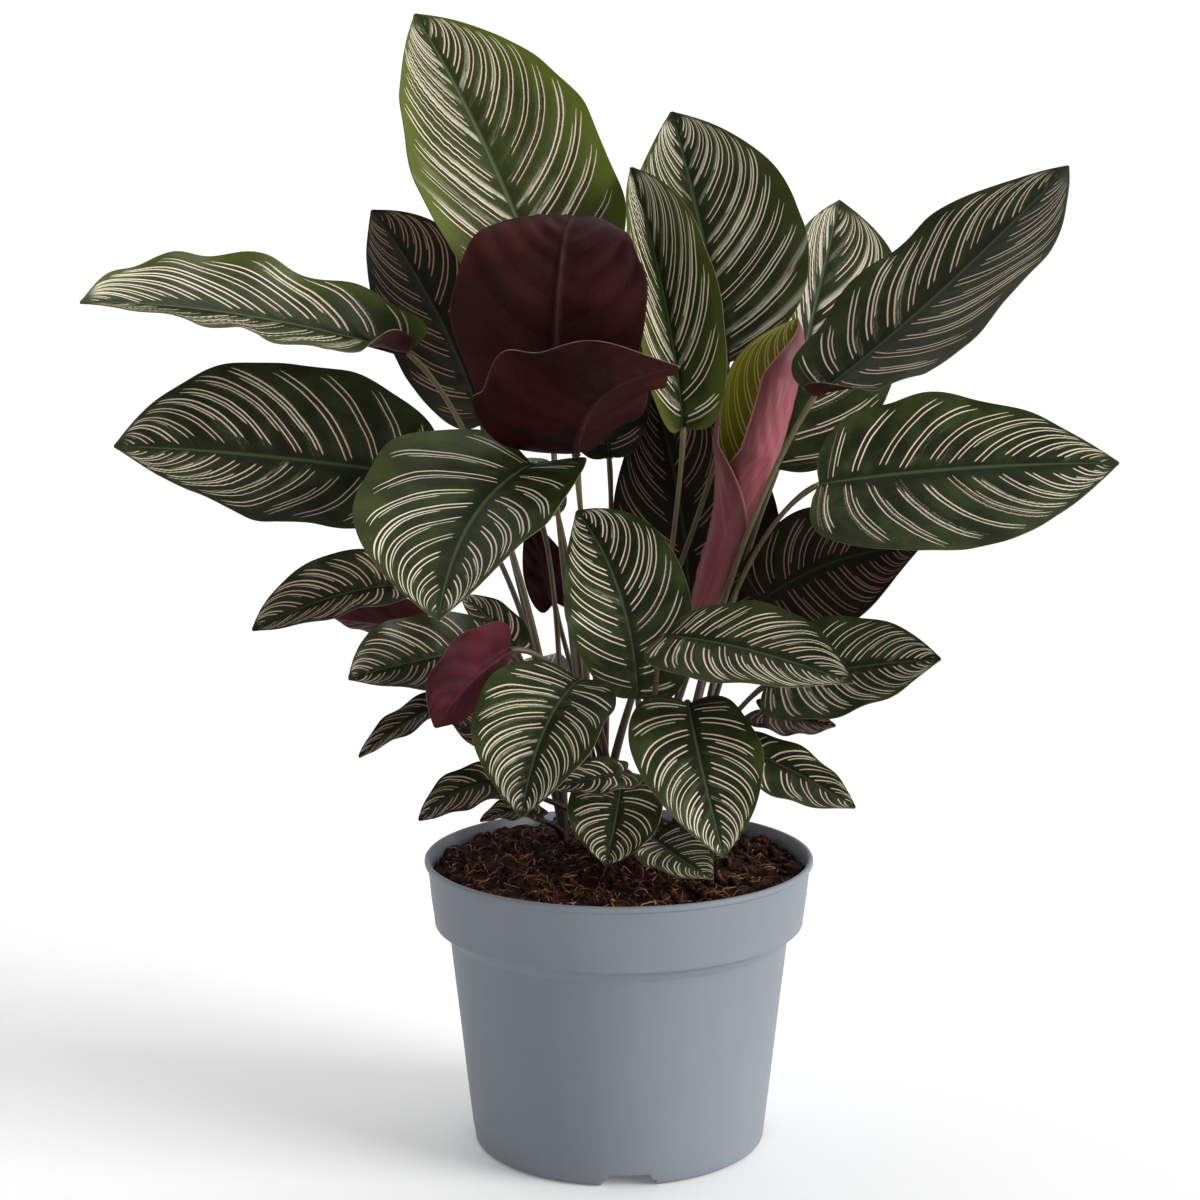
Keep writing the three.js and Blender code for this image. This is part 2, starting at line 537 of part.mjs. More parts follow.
const plastic = new THREE.MeshStandardMaterial({ color: 0x78808a, roughness: 0.5, metalness: 0 });
const peat = new THREE.MeshStandardMaterial({ color: 0x2e1b13, roughness: 1, metalness: 0 });
const stem = new THREE.MeshStandardMaterial({ color: 0x5c4a2c, roughness: 0.6, metalness: 0 });
const foliage = new THREE.MeshStandardMaterial({ color: 0x3c4a2b, roughness: 0.45, metalness: 0 });

const group = new THREE.Group();

function addMesh(name, geometry, material) {
  const mesh = new THREE.Mesh(geometry, material);
  mesh.name = name;
  group.add(mesh);
}

const leaves = LEAVES.map(readLeaf);
addMesh('pot', makePot(), plastic);
addMesh('soil', makeSoil(), peat);
for (const name of Object.keys(SHOOTS)) {
  addMesh(name, makeShoot(name, leaves), stem);
}
for (const leaf of leaves) {
  addMesh(leaf.name, makeBlade(leaf), foliage);
}

export default group;
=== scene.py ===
"""A potted pinstripe calathea: plastic nursery pot, peaty soil, stalks and striped blades.

The blades, stalks, soil and pot are finer pieces in the places of the frame's own nodes.
Lengths in the tables below are millimetres in the frame's axes; meshes are in metres.
"""

import bisect
import logging
import math
import random
from collections.abc import Callable, Iterable
from dataclasses import dataclass, field
from enum import Enum
from typing import Any

import bmesh
import bpy
from mathutils import Matrix, Vector, noise


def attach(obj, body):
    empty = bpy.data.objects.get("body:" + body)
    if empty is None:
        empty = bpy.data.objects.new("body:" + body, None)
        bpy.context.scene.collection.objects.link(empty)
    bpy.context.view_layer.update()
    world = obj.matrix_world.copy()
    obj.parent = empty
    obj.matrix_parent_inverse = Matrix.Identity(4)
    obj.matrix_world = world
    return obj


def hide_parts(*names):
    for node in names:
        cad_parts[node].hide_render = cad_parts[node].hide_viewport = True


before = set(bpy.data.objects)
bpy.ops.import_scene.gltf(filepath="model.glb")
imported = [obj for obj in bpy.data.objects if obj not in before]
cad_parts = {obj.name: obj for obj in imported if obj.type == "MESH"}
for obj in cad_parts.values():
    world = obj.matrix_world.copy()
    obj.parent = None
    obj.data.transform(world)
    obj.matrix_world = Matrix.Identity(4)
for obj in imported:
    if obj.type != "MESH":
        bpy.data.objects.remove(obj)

log = logging.getLogger("calathea")

MM = 0.001
WELD = 1e-6
BODY = "root"

Colour = tuple[float, float, float, float]
Triple = tuple[float, float, float]
Pair = tuple[float, float]


class Slot(Enum):
    """The record's material slots."""

    PLASTIC = "plastic"
    PEAT = "peat"
    STEM = "stem"
    FOLIAGE = "foliage"


# --- Shader maths -------------------------------------------------------------------


def rgb(red: float, green: float, blue: float) -> Colour:
    """A display colour as the linear colour that shaders take.

    Args:
        red: Its red, from 0 to 255.
        green: Its green.
        blue: Its blue.

    Returns:
        Its linear red, green, blue and alpha.
    """

    def linear(part: float) -> float:
        """One channel, from 0 to 1."""
        share = part / 255
        return share / 12.92 if share <= 0.04045 else ((share + 0.055) / 1.055) ** 2.4

    return (linear(red), linear(green), linear(blue), 1.0)


class Value:
    """A shader socket that takes part in Python arithmetic by adding Math nodes."""

    def __init__(self, graph: "Graph", socket: bpy.types.NodeSocket) -> None:
        """Wraps a socket.

        Args:
            graph: The graph that the socket is in.
            socket: The output to read.
        """
        self.graph = graph
        self.socket = socket

    def math(self, operation: str, *others: Any) -> "Value":
        """Applies a Math node.

        Args:
            operation: The Math node's operation.
            others: The second and third operands.

        Returns:
            The node's result.
        """
        node = self.graph.node("ShaderNodeMath", {"operation": operation}, [self, *others])
        return Value(self.graph, node.outputs[0])

    def __add__(self, other: Any) -> "Value":
        """Self plus other."""
        return self.math("ADD", other)

    __radd__ = __add__

    def __sub__(self, other: Any) -> "Value":
        """Self minus other."""
        return self.math("SUBTRACT", other)

    def __rsub__(self, other: float) -> "Value":
        """A number minus self."""
        node = self.graph.node("ShaderNodeMath", {"operation": "SUBTRACT"}, [other, self])
        return Value(self.graph, node.outputs[0])

    def __mul__(self, other: Any) -> "Value":
        """Self times other."""
        return self.math("MULTIPLY", other)

    __rmul__ = __mul__

    def __truediv__(self, other: Any) -> "Value":
        """Self over other."""
        return self.math("DIVIDE", other)

    def __pow__(self, other: Any) -> "Value":
        """Self to a power."""
        return self.math("POWER", other)

    def __abs__(self) -> "Value":
        """Self without its sign."""
        return self.math("ABSOLUTE")

    def floor(self) -> "Value":
        """The whole number below."""
        return self.math("FLOOR")

    def fraction(self) -> "Value":
        """What lies above the whole number below."""
        return self - self.floor()

    def high(self, other: Any) -> "Value":
        """The larger of self and other."""
        return self.math("MAXIMUM", other)

    def low(self, other: Any) -> "Value":
        """The smaller of self and other."""
        return self.math("MINIMUM", other)

    def rises(self, start: Any, end: Any) -> "Value":
        """A smooth step.

        Args:
            start: Where it leaves 0.
            end: Where it reaches 1.

        Returns:
            0 to 1.
        """
        node = self.graph.node(
            "ShaderNodeMapRange",
            {"interpolation_type": "SMOOTHSTEP"},
            {"Value": self, "From Min": start, "From Max": end},
        )
        return Value(self.graph, node.outputs[0])

    def falls(self, start: Any, end: Any) -> "Value":
        """A smooth step down, from 1 at start to 0 at end."""
        return 1 - self.rises(start, end)


class Graph:
    """A material's node tree."""

    def __init__(self, name: str) -> None:
        """Makes an empty material.

        Args:
            name: The material's name.
        """
        self.material = bpy.data.materials.new(name)
        self.material.use_nodes = True
        self.tree = self.material.node_tree
        self.tree.nodes.clear()

    def node(self, kind: str, settings: dict[str, Any], values: Any) -> bpy.types.Node:
        """Adds any node.

        Args:
            kind: The node's type.
            settings: Its properties, and "stops" for a ramp's (place, colour) pairs.
            values: Socket values or links, by socket name or in the sockets' order.

        Returns:
            The node.
        """
        node = self.tree.nodes.new(kind)
        for key, setting in settings.items():
            if key == "stops":
                self._stops(node.color_ramp, setting)
            else:
                setattr(node, key, setting)
        pairs = values.items() if isinstance(values, dict) else enumerate(values)
        for key, value in pairs:
            if isinstance(value, Value):
                self.tree.links.new(value.socket, node.inputs[key])
            else:
                node.inputs[key].default_value = value
        return node

    @staticmethod
    def _stops(ramp: bpy.types.ColorRamp, stops: list[tuple[float, Any]]) -> None:
        """Sets a ramp's stops.

        Args:
            ramp: The ramp.
            stops: The place and the colour of each stop.
        """
        while len(ramp.elements) < len(stops):
            ramp.elements.new(1.0)
        for element, (place, colour) in zip(ramp.elements, stops, strict=True):
            element.position = place
            element.color = colour

    def out(self, node: bpy.types.Node, key: Any = 0) -> Value:
        """A node's output as a value."""
        return Value(self, node.outputs[key])

    def attribute(self, name: str) -> Value:
        """A number that the mesh carries."""
        return self.out(self.node("ShaderNodeAttribute", {"attribute_name": name}, {}), "Fac")

    def place(self) -> Value:
        """Object coordinates."""
        return self.out(self.node("ShaderNodeTexCoord", {}, {}), "Object")

    def vector(self, x: Any, y: Any, z: Any) -> Value:
        """Three numbers as a vector."""
        return self.out(self.node("ShaderNodeCombineXYZ", {}, [x, y, z]))

    def noise(self, where: Value, scale: float, detail: float = 2.0, rough: float = 0.5) -> Value:
        """Noise from 0 to 1.

        Args:
            where: The vector to read it at.
            scale: Its scale.
            detail: Its octaves.
            rough: How strong the finer octaves are.

        Returns:
            The noise.
        """
        values = {"Vector": where, "Scale": scale, "Detail": detail, "Roughness": rough}
        return self.out(self.node("ShaderNodeTexNoise", {}, values), "Fac")

    def stretched(self, where: Value, scales: Triple) -> Value:
        """Noise with a scale of its own along each axis."""
        node = self.node("ShaderNodeMapping", {}, {"Vector": where, "Scale": scales})
        return self.noise(self.out(node), 1.0, 3)

    def veins(self, where: Value, scale: float, stray: float) -> Value:
        """How many pairs of stripes lie between a point and the blade's base.

        Args:
            where: The vector to read the straying at.
            scale: The straying's scale.
            stray: How far the stripes stray from their even curves, in pairs.

        Returns:
            The number, which isn't a whole one between the pairs' starts.
        """
        return self.attribute("vein") + (self.noise(where, scale, 2) - 0.5) * stray

    def cells(self, where: Value, scale: float, feature: str) -> Value:
        """Distances in a pattern of cells."""
        values = {"Vector": where, "Scale": scale}
        return self.out(self.node("ShaderNodeTexVoronoi", {"feature": feature}, values), "Distance")

    def chances(self, key: Value) -> list[Value]:
        """Three random numbers from 0 to 1 that stay the same for the same key."""
        node = self.node("ShaderNodeTexWhiteNoise", {"noise_dimensions": "1D"}, {"W": key})
        split = self.node("ShaderNodeSeparateColor", {}, {"Color": self.out(node, "Color")})
        return [self.out(split, i) for i in range(3)]

    def mix(self, share: Any, first: Any, second: Any) -> Value:
        """A colour between two.

        Args:
            share: 0 for the first, 1 for the second.
            first: A colour.
            second: A colour.

        Returns:
            The colour.
        """
        node = self.node("ShaderNodeMix", {"data_type": "RGBA"}, {0: share, 6: first, 7: second})
        return self.out(node, 2)

    def ramp(self, share: Value, stops: list[tuple[float, Any]]) -> Value:
        """A colour from a ramp."""
        return self.out(self.node("ShaderNodeValToRGB", {"stops": stops}, [share]))

    def bump(self, height: Value, distance: float, strength: float = 1.0) -> Value:
        """A normal from heights.

        Args:
            height: The heights, from 0 to 1.
            distance: What a height of 1 stands for, in metres.
            strength: How strongly it shows.

        Returns:
            The normal.
        """
        values = {"Strength": strength, "Distance": distance, "Height": height}
        return self.out(self.node("ShaderNodeBump", {}, values))

    def finish(self, **sockets: Any) -> bpy.types.Material:
        """Ends the material in one Principled shader.

        Args:
            sockets: Its sockets, with _ for the spaces in their names.

        Returns:
            The material.
        """
        values = {key.replace("_", " "): value for key, value in sockets.items()}
        shader = self.node("ShaderNodeBsdfPrincipled", {}, values)
        self.node("ShaderNodeOutputMaterial", {}, {"Surface": self.out(shader)})
        return self.material


# --- Finishes -----------------------------------------------------------------------


@dataclass(frozen=True)
class PotPlastic:
    """Matte blue-grey moulded plastic."""

    colour: Colour = rgb(115, 122, 130)
    dusty: Colour = rgb(123, 129, 136)
    cloud_scale: float = 14
    grain_scale: float = 1400
    streak_scale: Triple = (90, 90, 4)
    cloud_dust: float = 0.6
    streak_dust: float = 0.25
    roughness: float = 0.46
    relief: float = 0.00012

    def build(self) -> bpy.types.Material:
        """Makes the material."""
        g = Graph("pot_plastic")
        place = g.place()
        cloud = g.noise(place, self.cloud_scale, 3)
        grain = g.noise(place, self.grain_scale, 2)
        streaks = g.stretched(place, self.streak_scale)
        dust = cloud.rises(0.45, 0.75) * self.cloud_dust + streaks.rises(0.5, 0.8) * self.streak_dust
        return g.finish(
            Base_Color=g.mix(dust, self.colour, self.dusty),
            Roughness=self.roughness + 0.1 * cloud + 0.06 * grain,
            Normal=g.bump(grain * 0.7 + streaks * 0.3, self.relief, 0.5),
            IOR=1.46,
        )


@dataclass(frozen=True)
class Peat:
    """Dark peat and coir, with a few pale bits."""

    dark: Colour = rgb(12, 7, 4)
    brown: Colour = rgb(46, 22, 11)
    warm: Colour = rgb(112, 56, 28)
    pale: Colour = rgb(176, 140, 108)
    lump_scale: float = 160
    speck_scale: float = 520
    patch_scale: float = 22
    bit_scale: float = 300
    bit_patch_scale: float = 70
    speck_strength: float = 0.7
    bit_strength: float = 0.8
    relief: float = 0.0012

    def build(self) -> bpy.types.Material:
        """Makes the material."""
        g = Graph("peat")
        place = g.place()
        lumps = g.noise(place, self.lump_scale, 5, 0.65)
        specks = g.cells(place, self.speck_scale, "F1")
        patches = g.noise(place, self.patch_scale, 2)
        base = g.ramp(lumps, [(0.36, self.dark), (0.54, self.brown), (0.74, self.warm)])
        light = specks.falls(0.12, 0.3) * patches.rises(0.35, 0.65)
        colour = g.mix(light * self.speck_strength, base, self.warm)
        bits = g.cells(place, self.bit_scale, "F1").falls(0.14, 0.2)
        bits = bits * g.noise(place, self.bit_patch_scale, 2).rises(0.6, 0.66)
        return g.finish(
            Base_Color=g.mix(bits * self.bit_strength, colour, self.pale),
            Roughness=0.75 + 0.2 * lumps,
            Normal=g.bump(lumps + specks * 0.4, self.relief),
            Specular_IOR_Level=0.15,
        )


@dataclass(frozen=True)
class Fibre:
    """Coir fibres and bits of bark."""

    dark: Colour = rgb(58, 28, 16)
    pale: Colour = rgb(186, 130, 88)
    shade_scale: float = 90
    fine_scale: float = 2600
    relief: float = 0.0001

    def build(self) -> bpy.types.Material:
        """Makes the material."""
        g = Graph("coir_fibre")
        place = g.place()
        shade = g.noise(place, self.shade_scale, 3, 0.7)
        fine = g.noise(place, self.fine_scale, 2)
        return g.finish(
            Base_Color=g.ramp(shade, [(0.35, self.dark), (0.75, self.pale)]),
            Roughness=0.6 + 0.3 * fine,
            Normal=g.bump(fine, self.relief),
        )


@dataclass(frozen=True)
class StalkSkin:
    """Stalks: red-brown below, olive towards the blade, with fine ribs, darker by painted shade under
    shaded leaves.
    """

    low: Colour = rgb(38, 18, 14)
    middle: Colour = rgb(62, 42, 27)
    high: Colour = rgb(94, 84, 46)
    blotch_scale: float = 60
    rib_scale: Triple = (900, 900, 60)
    rib_strength: float = 0.4
    relief: float = 0.0003

    def build(self) -> bpy.types.Material:
        """Makes the material."""
        g = Graph("stalk_skin")
        place = g.place()
        blotch = g.noise(place, self.blotch_scale, 3)
        # Painted shade darkens the stalks of leaves that stand in shade.
        height = g.attribute("rise") * 0.85 + blotch * 0.5 - 0.25 - g.attribute("tone") * 0.35
        stops = [(0.1, self.low), (0.5, self.middle), (0.95, self.high)]
        base = g.ramp(height.high(0).low(1), stops)
        ribs = g.stretched(place, self.rib_scale)
        return g.finish(
            Base_Color=g.mix(ribs.rises(0.45, 0.75) * self.rib_strength, base, self.low),
            Roughness=0.42 + 0.15 * blotch,
            Normal=g.bump(ribs, self.relief, 0.6),
        )


@dataclass(frozen=True)
class StripePair:
    """The pair of pinstripes round a point of the upper side, as shader values.

    The part, near and far count from 0 at one pair's start to 1 at the next pair's; away,
    begin and stop are shares of the way from midrib to margin; the pitch is in millimetres.
    """

    key: Value
    part: Value
    pitch: Value
    away: Value
    seen: Value
    near: Value
    far: Value
    begin: Value
    stop: Value
    spread: Value
    weight: Value
    third: Value


@dataclass(frozen=True)
class UpperSide:
    """The striped upper side of a blade."""

    deep: Colour = rgb(26, 33, 19)
    green: Colour = rgb(49, 61, 29)
    olive: Colour = rgb(88, 97, 34)
    umber: Colour = rgb(56, 39, 28)
    # Near-black brown of painted shade.
    dusk: Colour = rgb(26, 18, 12)
    rib: Colour = rgb(70, 84, 50)
    fresh_rib: Colour = rgb(84, 98, 56)
    cream: Colour = rgb(238, 231, 204)
    rose: Colour = rgb(190, 148, 124)
    # Silvery brushing, partly the leaf's own and partly painted sheen.
    silver: Colour = rgb(196, 190, 172)
    drift_scale: float = 38
    drift: float = 0.2
    line: float = 0.25
    line_edge: float = 0.12
    full_line_pitch: float = 7
    half_gap: float = 0.95
    gap_spread: float = 0.5
    largest_gap: float = 0.17
    third_gap: float = 1.5
    largest_third_gap: float = 0.18
    third_chance: float = 0.45
    mottle_scale: float = 55
    fine_scale: float = 900
    relief: float = 0.0003

    def pair(self, g: Graph, vein: Value) -> StripePair:
        """Places the stripes of each pair by chance, the same all over the pair.

        Args:
            g: The material's graph.
            vein: How many pairs lie between a point and the blade's base.

        Returns:
            The pair round a point.
        """
        share = g.attribute("share")
        pitch = g.attribute("pitch")
        cell = vein.floor()
        key = cell + share.math("LESS_THAN", 0) * 57 + g.attribute("seed")
        shift, spread, starts = g.chances(key)
        ends, weight, third = g.chances(key + 211.5)
        centre = 0.42 + 0.16 * shift
        gap = ((self.half_gap + self.gap_spread * spread) * pitch**-1).low(self.largest_gap)
        return StripePair(
            key=key,
            part=vein - cell,
            pitch=pitch,
            away=abs(share),
            seen=g.attribute("vein").rises(0.25, 0.6) * g.attribute("along").falls(0.93, 0.975),
            near=centre - gap,
            far=centre + gap,
            begin=0.07 + 0.12 * starts,
            stop=0.89 + 0.08 * ends,
            spread=spread,
            weight=weight,
            third=third,
        )

    def stripe(self, pair: StripePair, middle: Value, start: Value, end: Value, width: Value) -> Value:
        """One pinstripe, which tapers at both ends.

        Args:
            pair: The pair that it belongs to.
            middle: Where its middle runs in the pair.
            start: Share of the way to the margin where it starts.
            end: Share where it ends.
            width: Its half width in millimetres.

        Returns:
            1 on the stripe, 0 off it.
        """
        swell = pair.away.rises(start, start + 0.04) * pair.away.falls(end - 0.1, end)
        half = width * (0.3 + 0.7 * swell)
        gap = abs(pair.part - middle) * pair.pitch
        return gap.falls(half - self.line_edge, half + self.line_edge) * swell.rises(0.01, 0.12)

    def stripes(self, g: Graph, pair: StripePair) -> Value:
        """The two pinstripes of a pair, and a third beside some.

        Args:
            g: The material's graph.
            pair: The pair.

        Returns:
            1 on them, 0 off them.
        """
        room = (pair.pitch / self.full_line_pitch).low(1)
        width = self.line * (0.7 + 0.6 * pair.weight) * (1 + 0.3 * g.attribute("along"))
        width = width * (0.35 + 0.65 * room)
        first = self.stripe(pair, pair.near, pair.begin, pair.stop, width)
        late = pair.begin + 0.05 - 0.1 * pair.spread
        second = self.stripe(pair, pair.far, late, pair.stop - 0.03, width)
        beside = pair.far + (pair.pitch**-1 * self.third_gap).low(self.largest_third_gap)
        more = self.stripe(pair, beside, pair.begin + 0.2, pair.stop - 0.12, width * 0.8)
        more = more * pair.third.rises(self.third_chance, self.third_chance + 0.02)
        more = more * pair.pitch.rises(4, self.full_line_pitch)
        return first.high(second).high(more) * pair.seen

    def band(self, pair: StripePair) -> Value:
        """The brown band between the two stripes of a pair.

        Args:
            pair: The pair.

        Returns:
            1 on it, 0 off it.
        """
        between = pair.part.rises(pair.near - 0.05, pair.near + 0.03)
        between = between * pair.part.falls(pair.far - 0.03, pair.far + 0.05)
        between = between * pair.away.rises(pair.begin - 0.02, pair.begin + 0.08)
        return between * pair.away.falls(pair.stop - 0.2, pair.stop) * pair.seen

    def brushing(self, g: Graph, pair: StripePair, vein: Value) -> Value:
        """Silvery streaks that start beside the far stripe of a pair, partly the leaf's own silvering
        and partly painted sheen.

        Args:
            g: The material's graph.
            pair: The pair.
            vein: How many pairs lie between a point and the blade's base.

        Returns:
            0 to 1.
        """
        bright = g.attribute("silver")
        strength, extent, breadth = g.chances(pair.key + 91.7)
        streak = g.noise(g.vector(vein * 7, pair.away * 2.6, g.attribute("seed")), 2.0, 6, 0.8)
        beside = pair.part.rises(pair.far - 0.03, pair.far + 0.03)
        fade = pair.far + 0.05 + 0.2 * breadth, pair.far + 0.3 + 0.25 * breadth
        beside = beside * pair.part.falls(*fade)
        end = (0.2 + 0.5 * bright) * (0.5 + extent)
        reach = pair.away.rises(0.02, 0.07) * pair.away.falls(end, end + 0.3)
        strong = (bright * (0.1 + 1.3 * strength)).low(1)
        brushed = beside * reach * streak.rises(0.54 - 0.22 * strong, 0.68 - 0.2 * strong)
        return brushed * pair.seen * strong.rises(0.1, 0.75)

    def ground(self, g: Graph, away: Value, band: Value, mottled: Value) -> Value:
        """The blade's green below its stripes, with the midrib, darkened by painted shade on leaves
        that stand in shade.

        Args:
            g: The material's graph.
            away: Share of the way from midrib to margin.
            band: 1 between the two stripes of a pair.
            mottled: Soft blotches from 0 to 1.

        Returns:
            The colour.
        """
        tone = g.attribute("tone")
        fresh = g.attribute("fresh")
        margin = away.rises(0.5, 0.97)
        body = g.mix(mottled.rises(0.35, 0.7), self.deep, self.green)
        body = g.mix(fresh * (0.25 + 0.7 * margin), body, self.olive)
        body = g.mix(away.falls(0.04, 0.2) * (0.75 - 0.3 * fresh), body, self.deep)
        body = g.mix(band * 0.75, body, self.umber)
        # Painted shade: leaves that stand in shade are darkened towards a near-black brown.
        body = g.mix(tone * (0.75 + 0.25 * mottled), body, self.dusk)
        rib = g.mix(fresh, self.rib, self.fresh_rib)
        # Painted shade also dims the midrib of shaded leaves.
        return g.mix(away.falls(0.008, 0.03) * (0.8 - 0.55 * tone), body, rib)

    def build(self) -> bpy.types.Material:
        """Makes the material."""
        g = Graph("upper_side")
        place = g.place()
        vein = g.veins(place, self.drift_scale, self.drift)
        pair = self.pair(g, vein)
        stripes = self.stripes(g, pair)
        mottled = g.noise(place, self.mottle_scale, 4, 0.6)
        body = self.ground(g, pair.away, self.band(pair), mottled)
        # Silvery brushing, partly the leaf's own silvering and partly painted sheen.
        body = g.mix(self.brushing(g, pair, vein) * 0.75, body, self.silver)
        pink = (g.attribute("pink") + pair.away.falls(0.1, 0.4) * 0.2).low(1)
        # Painted shade also dims the stripes of shaded leaves.
        shown = stripes * (0.92 - 0.46 * g.attribute("tone"))
        folds = g.noise(g.vector(vein * 9, pair.away * 4, 0), 1.0, 2)
        height = 0.5 * folds + 0.25 * g.noise(place, self.fine_scale, 3)
        return g.finish(
            Base_Color=g.mix(shown, body, g.mix(pink, self.cream, self.rose)),
            Roughness=0.36 + 0.14 * mottled + 0.08 * stripes,
            Normal=g.bump(height + 0.3 * stripes, self.relief, 0.6),
            Specular_IOR_Level=0.12,
        )


@dataclass(frozen=True)
class Underside:
    """The wine-red lower side of a blade."""

    dark: Colour = rgb(30, 11, 8)
    lit: Colour = rgb(56, 22, 19)
    rib: Colour = rgb(74, 38, 32)
    wine: Colour = rgb(44, 12, 18)
    bright_wine: Colour = rgb(92, 34, 46)
    drift_scale: float = 45
    drift: float = 0.1
    net_scale: float = 420
    cloud_scale: float = 26
    fine_scale: float = 700
    relief: float = 0.0008

    def build(self) -> bpy.types.Material:
        """Makes the material."""
        g = Graph("underside")
        place = g.place()
        away = abs(g.attribute("share"))
        aside = abs(g.veins(place, self.drift_scale, self.drift).fraction() - 0.5)
        quilt = aside.falls(0.1, 0.5)
        rib = aside.rises(0.44, 0.5) * away.rises(0.02, 0.1) * away.falls(0.7, 0.95)
        net = g.cells(place, self.net_scale, "DISTANCE_TO_EDGE").falls(0.0, 0.12)
        cloud = g.noise(place, self.cloud_scale, 3)
        shade = cloud.rises(0.35, 0.7) * 0.75 + quilt * 0.12
        wine = g.mix(shade, self.wine, self.bright_wine)
        body = g.mix(g.attribute("pink"), g.mix(shade, self.dark, self.lit), wine)
        for share in (
            net * 0.08 + rib * 0.12,
            away.falls(0.012, 0.03) * 0.5,
            away.rises(0.975, 0.995) * 0.5,
        ):
            body = g.mix(share, body, self.rib)
        fine = g.noise(place, self.fine_scale, 3)
        height = quilt * (0.2 + 0.6 * cloud) + net * 0.1 + fine * 0.2
        return g.finish(
            Base_Color=body,
            Roughness=0.5 + 0.16 * cloud,
            Normal=g.bump(height, self.relief, 0.7),
            Specular_IOR_Level=0.08,
        )


@dataclass(frozen=True)
class RolledInside:
    """The yellow-green upper side of the young rolled leaf, with painted shade deep inside the roll.
    """

    shade: Colour = rgb(108, 102, 22)
    # The lit yellow-green towards the margins, against the painted shade above.
    fresh: Colour = rgb(172, 168, 38)
    stripe: Colour = rgb(232, 228, 150)
    drift_scale: float = 40
    drift: float = 0.1
    half_gap: float = 0.15
    stripe_strength: float = 0.85
    cloud_scale: float = 30
    fine_scale: float = 800
    relief: float = 0.0003

    def build(self) -> bpy.types.Material:
        """Makes the material."""
        g = Graph("rolled_inside")
        place = g.place()
        away = abs(g.attribute("share"))
        part = g.veins(place, self.drift_scale, self.drift).fraction()
        gap = abs(abs(part - 0.5) - self.half_gap) * g.attribute("pitch")
        stripes = gap.falls(0.2, 0.4) * away.rises(0.08, 0.2) * away.falls(0.9, 0.97)
        cloud = g.noise(place, self.cloud_scale, 3)
        # Painted shade: darker towards the midrib deep in the roll, lighter towards the margins.
        body = g.mix(away.rises(0.1, 0.9) * 0.7 + cloud * 0.3, self.shade, self.fresh)
        height = stripes * 0.4 + g.noise(place, self.fine_scale, 3) * 0.3
        return g.finish(
            Base_Color=g.mix(stripes * self.stripe_strength, body, self.stripe),
            Roughness=0.4 + 0.15 * cloud,
            Normal=g.bump(height, self.relief, 0.7),
            Specular_IOR_Level=0.35,
        )


@dataclass(frozen=True)
class RolledOutside:
    """The rose-pink lower side of the young rolled leaf, with painted light, painted shade and a
    painted highlight on its margin.
    """

    # Painted shade towards the margins, and the dark streaks.
    deep: Colour = rgb(70, 24, 26)
    rose: Colour = rgb(140, 68, 76)
    # The pale streaks, and the painted highlight along the margin.
    pale: Colour = rgb(178, 108, 110)
    line_scale: Pair = (26, 3)
    cloud_scale: float = 24
    relief: float = 0.0005

    def build(self) -> bpy.types.Material:
        """Makes the material."""
        g = Graph("rolled_outside")
        share = g.attribute("share")
        away = abs(share)
        along = g.attribute("along")
        across_scale, along_scale = self.line_scale
        lines = g.noise(g.vector(share * across_scale, along * along_scale, 0), 1.0, 4, 0.6)
        cloud = g.noise(g.place(), self.cloud_scale, 3)
        # Painted light near the midrib, strongest low down, and painted shade towards both margins.
        lit = away.falls(0.7, 0.97)
        bloom = cloud.rises(0.3, 0.7) * 0.2 + lit * (0.75 - 0.3 * along) + 0.1
        body = g.mix(bloom, self.deep, self.rose)
        # The pale streaks show more where light is painted.
        body = g.mix(lines.rises(0.5, 0.75) * 0.3 * (0.3 + lit), body, self.pale)
        body = g.mix(lines.falls(0.3, 0.45) * 0.35, body, self.deep)
        # A painted highlight along the margin.
        body = g.mix(away.rises(0.972, 0.99) * 0.6, body, self.pale)
        return g.finish(
            Base_Color=body,
            Roughness=0.42 + 0.14 * cloud,
            Normal=g.bump(lines, self.relief, 0.6),
            Specular_IOR_Level=0.35,
        )


@dataclass(frozen=True)
class BladeEdge:
    """The thin pale rim of a blade."""

    pale: Colour = rgb(112, 100, 68)
    dark: Colour = rgb(72, 52, 38)
    shade_scale: float = 120
    fine_scale: float = 1500
    relief: float = 0.0001

    def build(self) -> bpy.types.Material:
        """Makes the material."""
        g = Graph("blade_edge")
        place = g.place()
        shade = g.noise(place, self.shade_scale, 3)
        fine = g.noise(place, self.fine_scale, 2)
        return g.finish(
            Base_Color=g.mix(shade.rises(0.35, 0.65), self.dark, self.pale),
            Roughness=0.45 + 0.1 * fine,
            Normal=g.bump(fine, self.relief),
        )


@dataclass(frozen=True)
class PaleFloor:
    """The plain floor that everything stands on."""

    colour: Colour = rgb(248, 248, 248)
    glow: float = 0.1
    cloud_scale: float = 3

    def build(self) -> bpy.types.Material:
        """Makes the material."""
        g = Graph("pale_floor")
        return g.finish(
            Base_Color=self.colour,
            Roughness=0.8 + 0.1 * g.noise(g.place(), self.cloud_scale, 2),
            Emission_Color=self.colour,
            Emission_Strength=self.glow,
        )


# --- Meshes -------------------------------------------------------------------------


def clamp(share: float) -> float:
    """A share kept from 0 to 1."""
    return min(1.0, max(0.0, share))


def link(name: str, data: bpy.types.ID) -> bpy.types.Object:
    """Adds an object with its data to the scene."""
    made = bpy.data.objects.new(name, data)
    bpy.context.scene.collection.objects.link(made)
    return made


